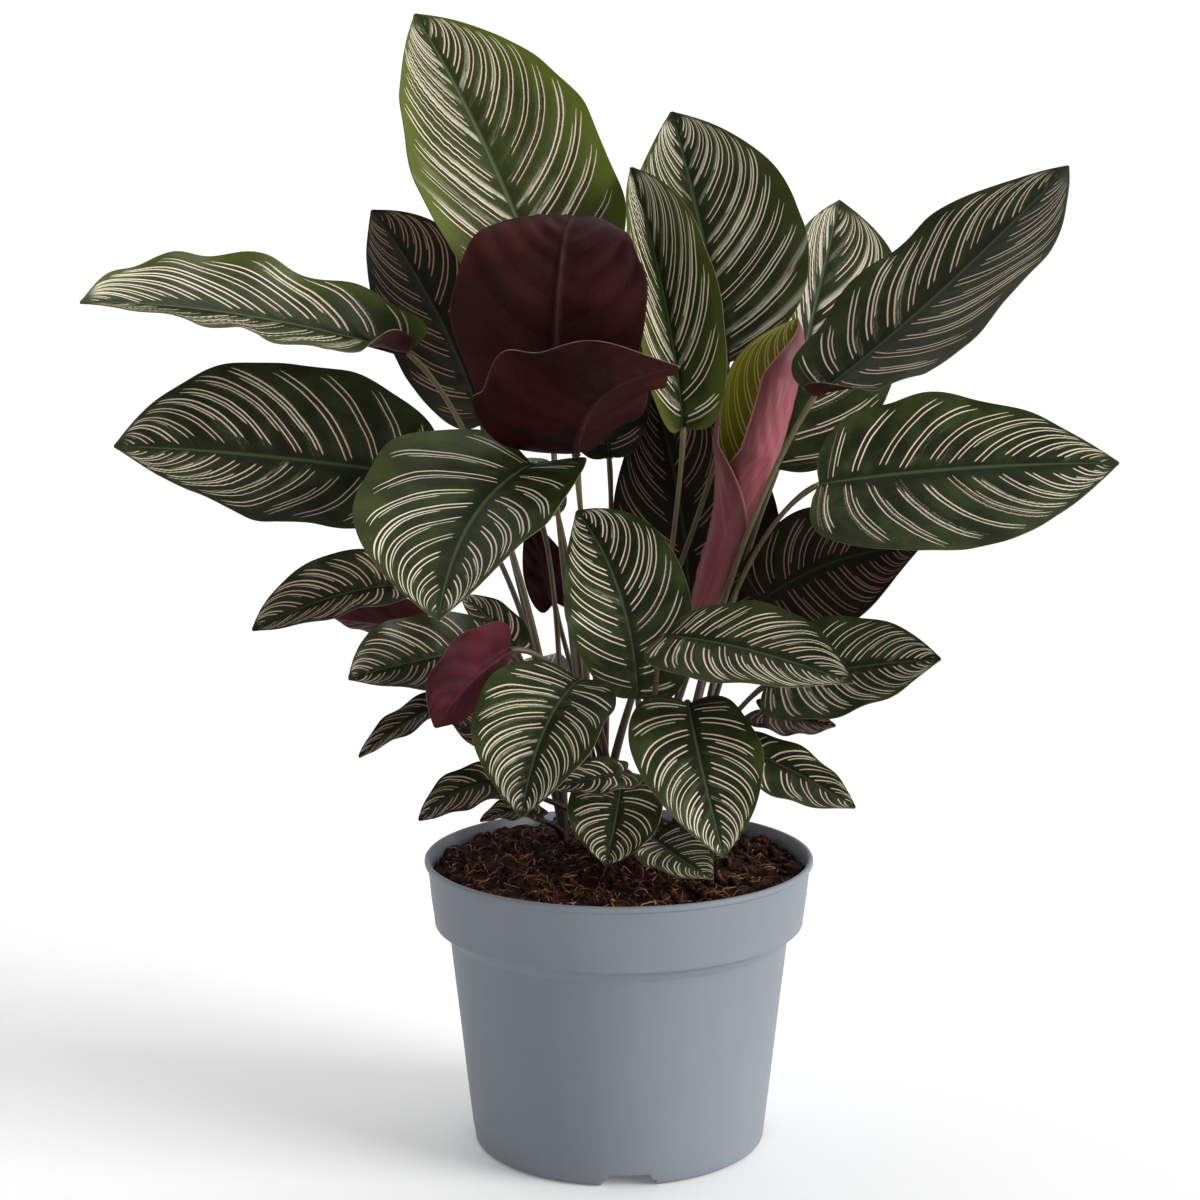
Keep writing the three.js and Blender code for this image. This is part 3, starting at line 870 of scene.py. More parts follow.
def link_mesh(name: str, mesh: bmesh.types.BMesh) -> bpy.types.Object:
    """Adds a finished bmesh to the scene as an object.

    Args:
        name: The name of the object and its mesh.
        mesh: The bmesh; it is freed.

    Returns:
        The object.
    """
    data = bpy.data.meshes.new(name)
    mesh.to_mesh(data)
    mesh.free()
    return link(name, data)


def new_piece(
    name: str,
    mesh: bmesh.types.BMesh,
    materials: Iterable[bpy.types.Material],
    slot: Slot,
    nodes: Iterable[str] = (),
) -> bpy.types.Object:
    """Turns a finished bmesh into a piece of the plant.

    Args:
        name: The piece's name.
        mesh: Its mesh, in place; it is freed.
        materials: Its materials, in the order of their slots.
        slot: The record's slot that its finish belongs to; it is not used.
        nodes: The frame's nodes that it stands for.

    Returns:
        The object.
    """
    piece = link_mesh(name, mesh)
    for material in materials:
        piece.data.materials.append(material)
    piece.data.shade_smooth()
    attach(piece, BODY)
    if nodes:
        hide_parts(*nodes)
    log.info("%s: %d faces", name, len(piece.data.polygons))
    return piece


def turned(outline: list[Pair], segments: int) -> bmesh.types.BMesh:
    """Turns an outline once round the middle of the pot.

    Args:
        outline: The radius and height of its points, in millimetres.
        segments: How many faces go round.

    Returns:
        The closed mesh, in metres.
    """
    mesh = bmesh.new()
    verts = [mesh.verts.new((radius * MM, 0, z * MM)) for radius, z in outline]
    edges = [mesh.edges.new(pair) for pair in zip(verts, verts[1:])]
    bmesh.ops.spin(
        mesh, geom=verts + edges, cent=(0, 0, 0), axis=(0, 0, 1), dvec=(0, 0, 0),
        angle=math.tau, steps=segments, use_merge=True,
    )
    bmesh.ops.remove_doubles(mesh, verts=mesh.verts, dist=WELD)
    return mesh


def add_tube(
    mesh: bmesh.types.BMesh, sides: int, steps: int, place: Callable[[float, float, float], Vector]
) -> list[bmesh.types.BMVert]:
    """Adds a closed tube with flat ends.

    Args:
        mesh: The mesh to add to.
        sides: How many faces go round it.
        steps: How many faces it has from end to end.
        place: Gives the surface's and the middle line's points, in metres, from the share
            of the way along, the angle round it and 1 or 0 for surface or middle.

    Returns:
        The tube's vertices.
    """
    made = bmesh.ops.create_grid(mesh, x_segments=sides, y_segments=steps + 2, size=1.0)
    verts = made["verts"]
    for vert in verts:
        row = (vert.co.y + 1) / 2 * (steps + 2) - 1
        full = -0.5 < row < steps + 0.5
        vert.co = place(clamp(row / steps), math.pi * vert.co.x, float(full))
    merged = bmesh.ops.find_doubles(mesh, verts=verts, dist=WELD / 10)["targetmap"]
    kept = [vert for vert in verts if vert not in merged]
    bmesh.ops.weld_verts(mesh, targetmap=merged)
    return kept


def bezier(points: list[Vector], share: float) -> Vector:
    """A point of a Bezier curve.

    Args:
        points: The points that shape the curve.
        share: Share of the way along it.

    Returns:
        The point, found by De Casteljau's steps.
    """
    while len(points) > 1:
        points = [a.lerp(b, share) for a, b in zip(points, points[1:])]
    return points[0]


# --- Leaves -------------------------------------------------------------------------


@dataclass(frozen=True)
class Leaf:
    """One leaf: its blade's midrib, outline and bends, its stalk, and how its stripes look.

    The midrib runs from base over middle to tip, and facing is where its upper side looks.
    Left and right are half widths. Pairs of numbers are for the left and the right half, but
    a patch's are where the silvering and its painted sheen start and end. Each row of cup is a
    share of the way to the tip, and how many degrees each half bends there on its way to the margin.
    """

    name: str
    shoot: str
    base: Triple
    middle: Triple
    tip: Triple
    facing: Triple
    left: float
    right: float
    facing_tip: Triple | None = None
    widest: Pair = (0.42, 0.42)
    point: Pair = (2, 2)
    fold: Pair = (10, 10)
    cup: tuple[Triple, ...] = ((0, 8, 8),)
    ripple: float = 1.2
    waves: float = 3
    phase: float = 0
    lobe: Pair = (16, 16)
    reach: float = 0.22
    rise: float = 0.3
    pairs: float = 12
    sweep: Pair = (0.28, 0.28)
    bend: Pair = (0.16, 0.16)
    # How strong the silvery brushing and its painted sheen are on each half.
    silver: Pair = (0.2, 0.2)
    # How far painted shade darkens the blade, its stripes and its stalk.
    tone: float = 0.1
    pink: float = 0.25
    fresh: float = 0.15
    patch: Pair = (0, 1)
    wander: float = 0.8
    quilt: float = 0.28

    @property
    def node(self) -> str:
        """The frame's node that this blade stands for."""
        return f"leaf_{self.name}"

    def cup_at(self, side: int, u: float) -> float:
        """How far one half bends on its way to the margin.

        Args:
            side: 0 for the left half, 1 for the right one.
            u: Share of the way from base to tip.

        Returns:
            The bend in degrees.
        """
        for (start, *before), (end, *after) in zip(self.cup, self.cup[1:]):
            if u <= end:
                share = (u - start) / (end - start)
                return before[side] + (after[side] - before[side]) * share
        return self.cup[-1][side + 1]


# Leaves that stand in shade: painted shade darkens them fully or by half, and they get no silver.
SHADED = {"tone": 0.85, "pink": 0.9, "silver": (0, 0), "fresh": 0}
DUSKY = {"tone": 0.5, "pink": 0.6, "silver": (0.05, 0.05), "fresh": 0}

LEAVES = [
    # Upright leaves at the top.
    Leaf(
        "tall_left", "shoot_back", (-30, 30, 399), (-63, 62, 479), (-102, 90, 551),
        (0.35, -0.9, 0.3), 52, 54, fold=(18, 14), widest=(0.4, 0.45), point=(2.1, 2.2),
        silver=(0.85, 0.5), sweep=(0.4, 0.3), bend=(0.08, 0.14), tone=0, fresh=0.9, pairs=16,
        wander=2.2,
    ),
    Leaf(
        "top_right", "shoot_back", (53, 45, 380), (42, 85, 442), (27, 120, 504),
        (-0.1, -0.85, 0.5), 38, 51, fold=(15, 12), widest=(0.42, 0.38), point=(2, 2.4),
        lobe=(16, 4), silver=(1, 1), sweep=(0.42, 0.36), pairs=14, pink=0.12, fresh=0.35, tone=0,
        patch=(0.15, 1),
    ),
    Leaf(
        "top_centre", "shoot_centre", (31, 10, 352), (22, 22, 412), (6, 60, 475),
        (0.15, -0.95, 0.2), 30, 30, fold=(45, 40), point=(2, 3), silver=(0.5, 0.8), tone=0,
        sweep=(0.5, 0.5), bend=(0.1, 0.1), fresh=0.7, pairs=11, pink=0.1,
    ),
    Leaf(
        "behind_right", "shoot_back_right", (79, 50, 327), (96, 85, 392), (116, 140, 459),
        (0.4, -0.75, 0.5), 36, 47, fold=(25, 15), widest=(0.42, 0.5), point=(2.2, 3.6),
        lobe=(4, 4), silver=(0.9, 0.9), pink=0.2, fresh=0.3, pairs=11, sweep=(0.42, 0.42),
        patch=(0.5, 1), tone=0.15,
    ),
    Leaf(
        "far_right_high", "shoot_right", (92, -25, 370), (145, -20, 413), (211, 0, 475),
        (-0.45, -0.6, 0.66), 36, 46, fold=(8, 8), ripple=2.5, widest=(0.5, 0.45), point=(3, 3),
        lobe=(26, 18), cup=((0, 8, 130), (0.1, 8, 85), (0.2, 8, 30), (0.32, 8, 8)),
        silver=(0.35, 0.15), pink=0.3, pairs=13, tone=0.2, wander=2, fresh=0.1,
    ),
    Leaf(
        "under_upper", "shoot_front_left", (-31, -3, 350), (-26, -25, 437), (-16, 45, 445),
        (0, 1, 0.1), 40, 47, facing_tip=(0, 0.2, -1), fold=(-8, -8), widest=(0.3, 0.3),
        point=(1.6, 1.6), cup=((0, -8, -8), (0.4, 14, 14), (1, 30, 30)), pairs=9, pink=0.1,
        wander=2.4, quilt=0.55,
    ),
    Leaf(
        "under_lower", "shoot_front_left", (-20, -20, 342), (-8, -65, 372), (26, -105, 388),
        (-0.2, 0.5, 0.84), 32, 52, ripple=3.2, waves=3.4, widest=(0.4, 0.42), point=(2.6, 2.6),
        pairs=9, pink=0.05, wander=3, quilt=0.45,
    ),
    Leaf(
        "dark_left", "shoot_left", (-68, 55, 349), (-92, 80, 403), (-127, 110, 454),
        (0.3, -0.85, 0.4), 35, 34, point=(2, 3.4), **SHADED,
    ),
    Leaf(
        "far_left_high", "shoot_left", (-101, 0, 388), (-176, -30, 407), (-240, -70, 414),
        (0, -0.7, 0.7), 38, 28, fold=(28, 28), ripple=2, waves=4.5, phase=0.75,
        widest=(0.42, 0.45), point=(2, 3), lobe=(10, 40),
        cup=((0, 120, 8), (0.1, 75, 8), (0.2, 25, 8), (0.32, 8, 8)),
        silver=(0.45, 0.12), tone=0, pink=0.1, sweep=(0.34, 0.44), fresh=0.45, pairs=13,
        wander=3.4,
    ),
    Leaf(
        "left", "shoot_left", (-90, 0, 328), (-165, -10, 339), (-235, -30, 346),
        (0, -0.8, 0.6), 42, 48, point=(2, 2.5), silver=(0.35, 0.2), tone=0.4, pairs=13,
        fresh=0.05, wander=1.8, quilt=0.4,
    ),
    Leaf(
        "round_left", "shoot_front_left", (-41, -25, 337), (-66, -82, 317), (-77, -140, 282),
        (-0.1, -0.5, 0.85), 42, 56, lobe=(36, 44), silver=(0.03, 0.03), tone=0, pink=0,
        sweep=(0.36, 0.38), bend=(0.16, 0.2), pairs=11, fresh=0.25, wander=1.6,
    ),
    # The rolled young leaf.
    Leaf(
        "rolled", "shoot_centre", (39.5, 25, 247), (65.5, 30.5, 316), (87, 37, 402),
        (-0.6, -0.8, 0.1), 46, 42, widest=(0.38, 0.75), point=(5, 3.5), fold=(0, 0), ripple=0,
        lobe=(0, 0), cup=(
            (0, 285, 285), (0.36, 285, 285), (0.5, 220, 230), (0.62, 158, 162),
            (0.76, 140, 156), (0.84, 122, 156), (0.92, 108, 127), (1, 90, 95),
        ), pairs=16,
    ),
    # Leaves that reach right.
    Leaf(
        "right", "shoot_right", (96, 0, 325), (164, 5, 332), (241, 10, 334),
        (0, -0.75, 0.66), 38, 56, lobe=(4, 40), silver=(0.25, 0.12), tone=0, pink=0.1,
        fresh=0.1, sweep=(0.3, 0.28), wander=2,
    ),
    Leaf(
        "dark_right", "shoot_back_right", (69, 30, 263), (106, 25, 284), (146, 10, 293),
        (-0.3, -0.8, 0.5), 28, 42, point=(2, 2.5), **SHADED,
    ),
    Leaf(
        "dark_centre", "shoot_centre", (35, 57, 239), (32, 72, 299), (17, 102, 365),
        (-0.1, -0.9, 0.35), 36, 50, **SHADED,
    ),
    Leaf(
        "front_centre", "shoot_front_right", (9, -35, 228), (0, -30, 278), (-20, -16, 314),
        (0, -1, 0.15), 27, 31, point=(2, 2.6), lobe=(4, 16), silver=(0.35, 0.1), pairs=11,
        pink=0.1, tone=0.05,
    ),
    Leaf(
        "low_right", "shoot_front_right", (21, -60, 262), (59, -76, 258), (104, -99, 247),
        (0.1, -0.6, 0.8), 25, 34, widest=(0.55, 0.42), lobe=(-10, 20), rise=0.1, reach=0.05,
        silver=(0.2, 0.35), pink=0.2,
    ),
    Leaf(
        "low_far_right", "shoot_right", (70, -20, 231), (109, -30, 241), (150, -45, 248),
        (0, -0.65, 0.75), 27, 34, point=(2.2, 2.8), pairs=11, silver=(0.4, 0.4), pink=0.1,
    ),
    Leaf(
        "brown_right", "shoot_right", (69, -5, 215), (86, -10, 212), (104, -15, 210),
        (0, -0.5, 0.85), 9, 16, pairs=6, **SHADED,
    ),
    Leaf(
        "bottom_right", "shoot_right", (60, -20, 200), (86, -32, 190), (111, -45, 177),
        (0.2, -0.6, 0.75), 13, 24, point=(2, 2.6), pairs=6, tone=0.2,
    ),
    # Leaves that hang in front.
    Leaf(
        "hanging_right", "shoot_front_right", (32, -65, 231), (38, -95, 204), (47, -105, 169),
        (0, -0.85, 0.5), 27, 30, widest=(0.45, 0.34), point=(2.1, 1.6), lobe=(10, 20),
        silver=(0.45, 0.1), pairs=11, pink=0.1,
    ),
    Leaf(
        "hanging_left", "shoot_front", (-19, -60, 241), (-34, -95, 223), (-43, -115, 190),
        (-0.15, -0.8, 0.6), 28, 33, lobe=(10, 16), silver=(0.1, 0.6), pink=0.05,
    ),
    Leaf(
        "small_front", "shoot_front", (1, -25, 183), (-2, -45, 169), (-6, -55, 152),
        (0, -0.8, 0.6), 21, 23, pairs=8, tone=0.35,
    ),
    Leaf(
        "small_right", "shoot_front_right", (17, -15, 155), (29, -35, 150), (44, -50, 144),
        (0, -0.4, 0.9), 17, 20, pairs=8, tone=0.2,
    ),
    Leaf(
        "small_left", "shoot_front", (4, -30, 191), (-14, -45, 191), (-32, -55, 189),
        (0.1, -0.5, 0.85), 14, 9, pairs=6, tone=0.3,
    ),
    # Leaves low on the left.
    Leaf(
        "low_far_left", "shoot_left", (-107, 20, 273), (-138, 10, 269), (-177, 0, 254),
        (0.1, -0.75, 0.65), 17, 19, fold=(22, 22), point=(2.4, 3), pairs=9, **DUSKY,
    ),
    Leaf(
        "under_left", "shoot_left", (-95, 26, 255), (-118, 21, 255), (-140, 16, 258),
        (0, 0.7, 0.7), 14, 16, pairs=6, pink=0.8, quilt=0.15,
    ),
    Leaf(
        "low_left", "shoot_front_left", (-60, -27, 251), (-95, -45, 247), (-124, -63, 242),
        (0, -0.7, 0.7), 26, 21, fold=(18, 18), point=(2.2, 2.8), pairs=9, tone=0.4, pink=0.4,
    ),
    Leaf(
        "under_low_left", "shoot_front", (-51, -60, 255), (-68, -75, 243), (-83, -85, 224),
        (-0.2, 0.8, 0.5), 20, 20, point=(2.6, 2.6), pairs=6, pink=1.0, quilt=0.12,
    ),
    Leaf(
        "narrow_left", "shoot_front", (-78, -40, 228), (-99, -55, 220), (-119, -70, 207),
        (-0.2, -0.6, 0.8), 9, 9, pairs=6, **DUSKY,
    ),
    Leaf(
        "bottom_left", "shoot_front", (-51, -30, 185), (-73, -40, 185), (-94, -45, 171),
        (-0.1, -0.6, 0.8), 16, 11, pairs=6, **DUSKY,
    ),
    Leaf(
        "behind_round", "shoot_front_left", (-49, 5, 242), (-61, 0, 258), (-76, -5, 272),
        (0.2, -0.8, 0.5), 12, 10, pairs=6, **DUSKY,
    ),
    Leaf(
        "behind_hanging", "shoot_front", (-35, -25, 215), (-56, -35, 210), (-78, -45, 218),
        (0, -0.7, 0.7), 18, 18, pairs=6, **SHADED,
    ),
    Leaf(
        "over_soil", "shoot_left", (-39, 15, 158), (-53, 10, 162), (-68, 5, 158),
        (0, -0.4, 0.9), 9, 7, pairs=5, **SHADED,
    ),
    Leaf(
        "under_centre", "shoot_back", (-33, 64, 258), (-38, 68, 276), (-46, 74, 299),
        (0, 0.95, -0.3), 11, 11, pairs=5, pink=0.3,
    ),
    # Leaves on the far side.
    Leaf(
        "back_left", "shoot_left", (-40, 70, 300), (-75, 115, 320), (-105, 139, 300),
        (-0.2, 0.3, 0.9), 30, 30,
    ),
    Leaf(
        "back_centre", "shoot_back", (25, 75, 280), (30, 115, 297), (35, 140, 275),
        (0, 0.3, 0.95), 26, 26, pairs=7,
    ),
    Leaf(
        "back_right", "shoot_back_right", (60, 75, 250), (95, 115, 262), (120, 138, 240),
        (0.2, 0.3, 0.9), 26, 26, pairs=7.5,
    ),
    Leaf(
        "back_low_left", "shoot_back", (-35, 70, 215), (-60, 110, 215), (-80, 136, 190),
        (-0.2, 0.4, 0.9), 22, 22, pairs=7,
    ),
    Leaf(
        "back_low_right", "shoot_back_right", (30, 75, 190), (45, 110, 185), (55, 136, 162),
        (0.1, 0.5, 0.85), 20, 20, pairs=7,
    ),
    Leaf(
        "back_upright", "shoot_back", (-5, 80, 330), (-12, 115, 385), (-20, 137, 430),
        (0, -0.8, 0.5), 26, 26, pairs=7.5, **DUSKY,
    ),
]


@dataclass
class Blade:
    """A leaf's blade as a fine mesh on the same surface as the frame's node."""

    leaf: Leaf
    stalk_end_width: float = 1.3
    tip_width: float = 0.5
    thickness: float = 0.7
    edge_thickness: float = 0.4
    rib_thickness: float = 1.9
    rib_width: float = 1.5
    groove: float = 0.35
    frill: float = 0.5
    frill_wave: float = 14
    margin_wave: float = 24
    side_lag: float = 0.35
    shared_normal: float = 2.2
    flow_steps: int = 400
    flow_start: float = 0.4
    flow_growth: float = 1.2
    least_base: float = 0.45
    least_tip: float = 0.03
    sweep_strength: float = 0.85
    right_shift: float = 0.3
    big_from: float = 25
    small_grid: tuple[int, int] = (30, 56)
    big_grid: tuple[int, int] = (48, 100)
    rolled_grid: tuple[int, int] = (96, 120)
    crowding: float = 0.5
    side_crowding: float = 0.8

    def __post_init__(self) -> None:
        """Works out the midrib's curve and the upper side's directions."""
        base, middle, tip = (Vector(p) for p in (self.leaf.base, self.leaf.middle, self.leaf.tip))
        self.midrib = [base, middle * 2 - base * 0.5 - tip * 0.5, tip]
        self.up_base = Vector(self.leaf.facing).normalized()
        self.up_tip = Vector(self.leaf.facing_tip or self.leaf.facing).normalized()
        self.length = (middle - base).length + (tip - middle).length
        self.seed = sum(map(ord, self.leaf.name)) % 97
        self.known: dict[float, tuple[Vector, Vector, Vector, Vector]] = {}
        self.flows = (self.flow(0), self.flow(1))

    def axes(self, u: float) -> tuple[Vector, Vector, Vector, Vector]:
        """The midrib's point, and the directions along it, of the upper side and to the right.

        Args:
            u: Share of the way from base to tip.

        Returns:
            The point and the three directions.
        """
        if u not in self.known:
            first, control, last = self.midrib
            along = ((control - first) * (1 - u) + (last - control) * u).normalized()
            up = self.up_base.lerp(self.up_tip, u)
            up = (up - along * up.dot(along)).normalized()
            self.known[u] = bezier(self.midrib, u), along, up, along.cross(up)
        return self.known[u]

    def outline(self, side: int, u: float) -> float:
        """The outline on one side.

        Args:
            side: 0 for the left one, 1 for the right one.
            u: Share of the way from base to tip.

        Returns:
            The share of the full half width.
        """
        widest = self.leaf.widest[side]
        if u < widest:
            return math.sqrt(max(0.0, 1 - ((widest - u) / widest) ** 2))
        return 1 - ((u - widest) / (1 - widest)) ** self.leaf.point[side]

    def point(self, u: float, v: float, lobes: float = 1) -> Vector:
        """A point of the blade's middle surface.

        Args:
            u: Share of the way from base to tip.
            v: From -1 at the left margin to 1 at the right one.
            lobes: How far the base's lobes reach back past the stalk, as a share.

        Returns:
            The point, in millimetres.
        """
        leaf = self.leaf
        middle, along, up, right = self.axes(u)
        side, sign, share = (0, -1, -v) if v < 0 else (1, 1, v)
        full = self.outline(side, u)
        end = self.stalk_end_width + (self.tip_width - self.stalk_end_width) * u
        end *= min(1.0, u / 0.01)
        width = end + (leaf.right if side else leaf.left) * full + self.uneven(u, side, share) * full
        fold = math.radians(leaf.fold[side])
        bend = math.radians(leaf.cup_at(side, u)) or 1e-6
        turn = fold + bend * share
        across = width / bend * (math.sin(turn) - math.sin(fold))
        lift = width / bend * (math.cos(fold) - math.cos(turn))
        wave = leaf.ripple * share**2 * full * self.swing(u, side)
        wave += self.small_frill(u, side, share) * full
        back = lobes * leaf.lobe[side] * share * full * (1 - u) ** 4
        return (
            middle
            + right * sign * (across - wave * math.sin(turn))
            + up * (lift + wave * math.cos(turn))
            - along * back
        )

    def swing(self, u: float, side: int) -> float:
        """How the margin's waves stand on one side, from -1 to 1."""
        return math.sin(math.tau * (self.leaf.waves * u + self.leaf.phase + self.side_lag * side))

    def uneven(self, u: float, side: int, share: float) -> float:
        """How far the margin strays in or out.

        Args:
            u: Share of the way from base to tip.
            side: 0 on the left, 1 on the right.
            share: Share of the way from midrib to margin.

        Returns:
            The distance in millimetres.
        """
        place = Vector((u * self.length / self.margin_wave, side * 5.1 + 2.3, self.seed * 2.9))
        stray = 2 * noise.noise(place) + 0.45 * self.swing(u, side)
        return self.leaf.wander * stray * share**3

    def small_frill(self, u: float, side: int, share: float) -> float:
        """Small uneven waves close to the margin.

        Args:
            u: Share of the way from base to tip.
            side: 0 on the left, 1 on the right.
            share: Share of the way from midrib to margin.

        Returns:
            Their height in millimetres.
        """
        if not self.leaf.ripple:
            return 0.0
        place = Vector((u * self.length / self.frill_wave, side * 7.3, self.seed * 1.7))
        return self.frill * 2 * noise.noise(place) * share**4

    def slopes(self, u: float, v: float) -> tuple[Vector, Vector]:
        """How the middle surface runs at a point.

        Args:
            u: Share of the way from base to tip.
            v: From -1 at the left margin to 1 at the right one.

        Returns:
            Its two directions, in millimetres for each unit of u and of v.
        """
        step = 0.01
        behind, ahead = max(0.0, u - step), min(1.0, u + step)
        along = self.point(ahead, v, 0) - self.point(behind, v, 0)
        low = max(-1.0, v - step if v <= 0 or v >= step else 0.0)
        high = min(1.0, v + step if v >= 0 or v <= -step else 0.0)
        level = max(u, step)
        across = self.point(level, high, 0) - self.point(level, low, 0)
        return along / (ahead - behind), across / (high - low)

    def flow(self, side: int) -> list[float]:
        """How far the stripes' count has come at each step of the midrib.

        Args:
            side: 0 on the left, 1 on the right.

        Returns:
            The sums from base to tip, one more than there are steps.
        """
        total, sums = 0.0, [0.0]
        for i in range(self.flow_steps):
            u = (i + 0.5) / self.flow_steps
            full = self.outline(side, u)
            full = max(full, self.least_base if u < self.leaf.widest[side] else self.least_tip)
            total += 1 / (full * (self.flow_start + self.flow_growth * u)) / self.flow_steps
            sums.append(total)
        return sums

    def vein(self, u: float, v: float) -> float:
        """Counts the pairs of stripes from the base, along curves that sweep to the tip.

        Args:
            u: Share of the way from base to tip.
            v: From -1 at the left margin to 1 at the right one.

        Returns:
            The count, with the share of the pair that the point lies in.
        """
        side, share = (0, -v) if v < 0 else (1, v)
        sums = self.flows[side]
        place = min(u, 1.0) * self.flow_steps
        i = min(int(place), self.flow_steps - 1)
        here = sums[i] + (sums[i + 1] - sums[i]) * (place - i)
        swept = self.leaf.sweep[side] * share + self.leaf.bend[side] * share**3
        here -= self.sweep_strength * swept
        if here < 0:
            start = here / sums[1] / self.flow_steps
        else:
            j = min(bisect.bisect_right(sums, here), self.flow_steps) - 1
            start = (j + (here - sums[j]) / (sums[j + 1] - sums[j])) / self.flow_steps
        return self.leaf.pairs * start + self.right_shift * side

    def pitch(self, u: float, v: float, along: Vector, across: Vector) -> float:
        """How much room one pair of stripes takes up, across the stripes.

        Args:
            u: Share of the way from base to tip.
            v: From -1 at the left margin to 1 at the right one.
            along: How the surface runs for each unit of u.
            across: How it runs for each unit of v.

        Returns:
            The room in millimetres.
        """
        normal = across.cross(along)
        if normal.length < 1e-6:
            return 1.0
        step = 0.005
        u, v = min(u, 1 - step), min(v, 1 - step)
        at = self.vein(u, v)
        rise_along = (self.vein(u + step, v) - at) / step
        rise_across = (self.vein(u, v + step) - at) / step
        slope = across.cross(normal) * -rise_along + along.cross(normal) * rise_across
        return normal.length_squared / max(slope.length, 1e-9)

    def aside(self, v: float) -> float:
        """How far v lies from the midrib where the blade is widest, in millimetres."""
        return (self.leaf.right if v > 0 else self.leaf.left) * abs(v)

    def over_rib(self, u: float, v: float) -> float:
        """How near a point lies to the midrib's middle, from 0 to 1, less towards the tip."""
        return math.exp(-((self.aside(v) / self.rib_width) ** 2)) * (1 - u)

    def surface(self, u: float, v: float, normal: Vector) -> Vector:
        """A point of the upper side, with its groove over the midrib and its quilting.

        Args:
            u: Share of the way from base to tip.
            v: From -1 at the left margin to 1 at the right one.
            normal: The middle surface's normal there.

        Returns:
            The point, in millimetres.
        """
        share = abs(v)
        own = clamp(self.aside(v) * self.outline(1 if v > 0 else 0, u) / self.shared_normal)
        normal = self.axes(u)[2].lerp(normal, own**2).normalized()
        low = self.groove * self.over_rib(u, v)
        inner = min(1.0, share / 0.15) * min(1.0, (1 - share) / 0.3)
        ends = min(1.0, u / 0.1) * min(1.0, (1 - u) / 0.15)
        puff = noise.noise(Vector((u * 5, v * 2.5, self.seed * 0.7)))
        turn = self.vein(u, v) + 0.5 * puff
        rise = self.leaf.quilt * (1 + 1.2 * puff) * math.cos(math.tau * turn) * inner * ends
        offset = self.thickness / 2 - low + rise
        return self.point(u, v) + normal * offset

    def depth(self, u: float, v: float) -> float:
        """The blade's thickness.

        Args:
            u: Share of the way from base to tip.
            v: From -1 at the left margin to 1 at the right one.

        Returns:
            The thickness in millimetres.
        """
        thin = (self.thickness - self.edge_thickness) * max(0.0, (abs(v) - 0.6) / 0.4)
        return self.thickness - thin + self.rib_thickness * self.over_rib(u, v)

    def shine(self, u: float, v: float) -> float:
        """How strong the silvery brushing is, partly the leaf's own silvering and partly painted
        sheen.

        Args:
            u: Share of the way from base to tip.
            v: From -1 at the left margin to 1 at the right one.

        Returns:
            0 to 1.
        """
        first, last = self.leaf.patch
        window = clamp((u - first) / 0.15 + 1) * clamp((last - u) / 0.15 + 1)
        return self.leaf.silver[1 if v > 0 else 0] * window

    def build(self, materials: list[bpy.types.Material]) -> bpy.types.Object:
        """Makes the blade.

        Args:
            materials: Those of the upper side, the lower side and the rim.

        Returns:
            The piece.
        """
        big = max(self.leaf.left, self.leaf.right) > self.big_from
        columns, rows = self.big_grid if big else self.small_grid
        if len(self.leaf.cup) > 4:
            columns, rows = self.rolled_grid
        mesh = bmesh.new()
        bmesh.ops.create_grid(mesh, x_segments=columns, y_segments=rows, size=1.0)
        layers = {
            name: mesh.verts.layers.float.new(name)
            for name in ("vein", "share", "pitch", "along", "seed", "tone", "silver", "pink", "fresh")
        }
        deepest = self.thickness + self.rib_thickness
        depths = []
        for vert in mesh.verts:
            even, s = (vert.co.y + 1) / 2, abs(vert.co.x)
            u = even - self.crowding * math.sin(math.tau * even) / math.tau
            v = s - self.side_crowding * math.sin(math.tau * s) / math.tau
            v = math.copysign(v, vert.co.x)
            along, across = self.slopes(u, v)
            values = {
                "vein": self.vein(u, v),
                "share": v,
                "pitch": self.pitch(u, v, along, across),
                "along": u,
                "seed": float(self.seed),
                "tone": self.leaf.tone,
                "silver": self.shine(u, v),
                "pink": self.leaf.pink,
                "fresh": self.leaf.fresh,
            }
            for name, value in values.items():
                vert[layers[name]] = value
            depths.append(self.depth(u, v) / deepest)
            vert.co = self.surface(u, v, across.cross(along).normalized()) * MM
        name = f"blade_{self.leaf.name}"
        piece = new_piece(name, mesh, materials, Slot.FOLIAGE, [self.leaf.node])
        group = piece.vertex_groups.new(name="depth")
        for i, depth in enumerate(depths):
            group.add([i], depth, "REPLACE")
        shell = piece.modifiers.new("depth", "SOLIDIFY")
        shell.thickness = deepest * MM
        shell.offset = -1
        shell.vertex_group = group.name
        shell.material_offset = 1
        shell.material_offset_rim = 2
        return piece


class Foliage:
    """All the blades."""

    def build(self) -> None:
        """Makes every blade with its finish."""
        edge = BladeEdge().build()
        usual = [UpperSide().build(), Underside().build(), edge]
        rolled = [RolledInside().build(), RolledOutside().build(), edge]
        for leaf in LEAVES:
            Blade(leaf).build(rolled if leaf.name == "rolled" else usual)


# --- Stalks -------------------------------------------------------------------------


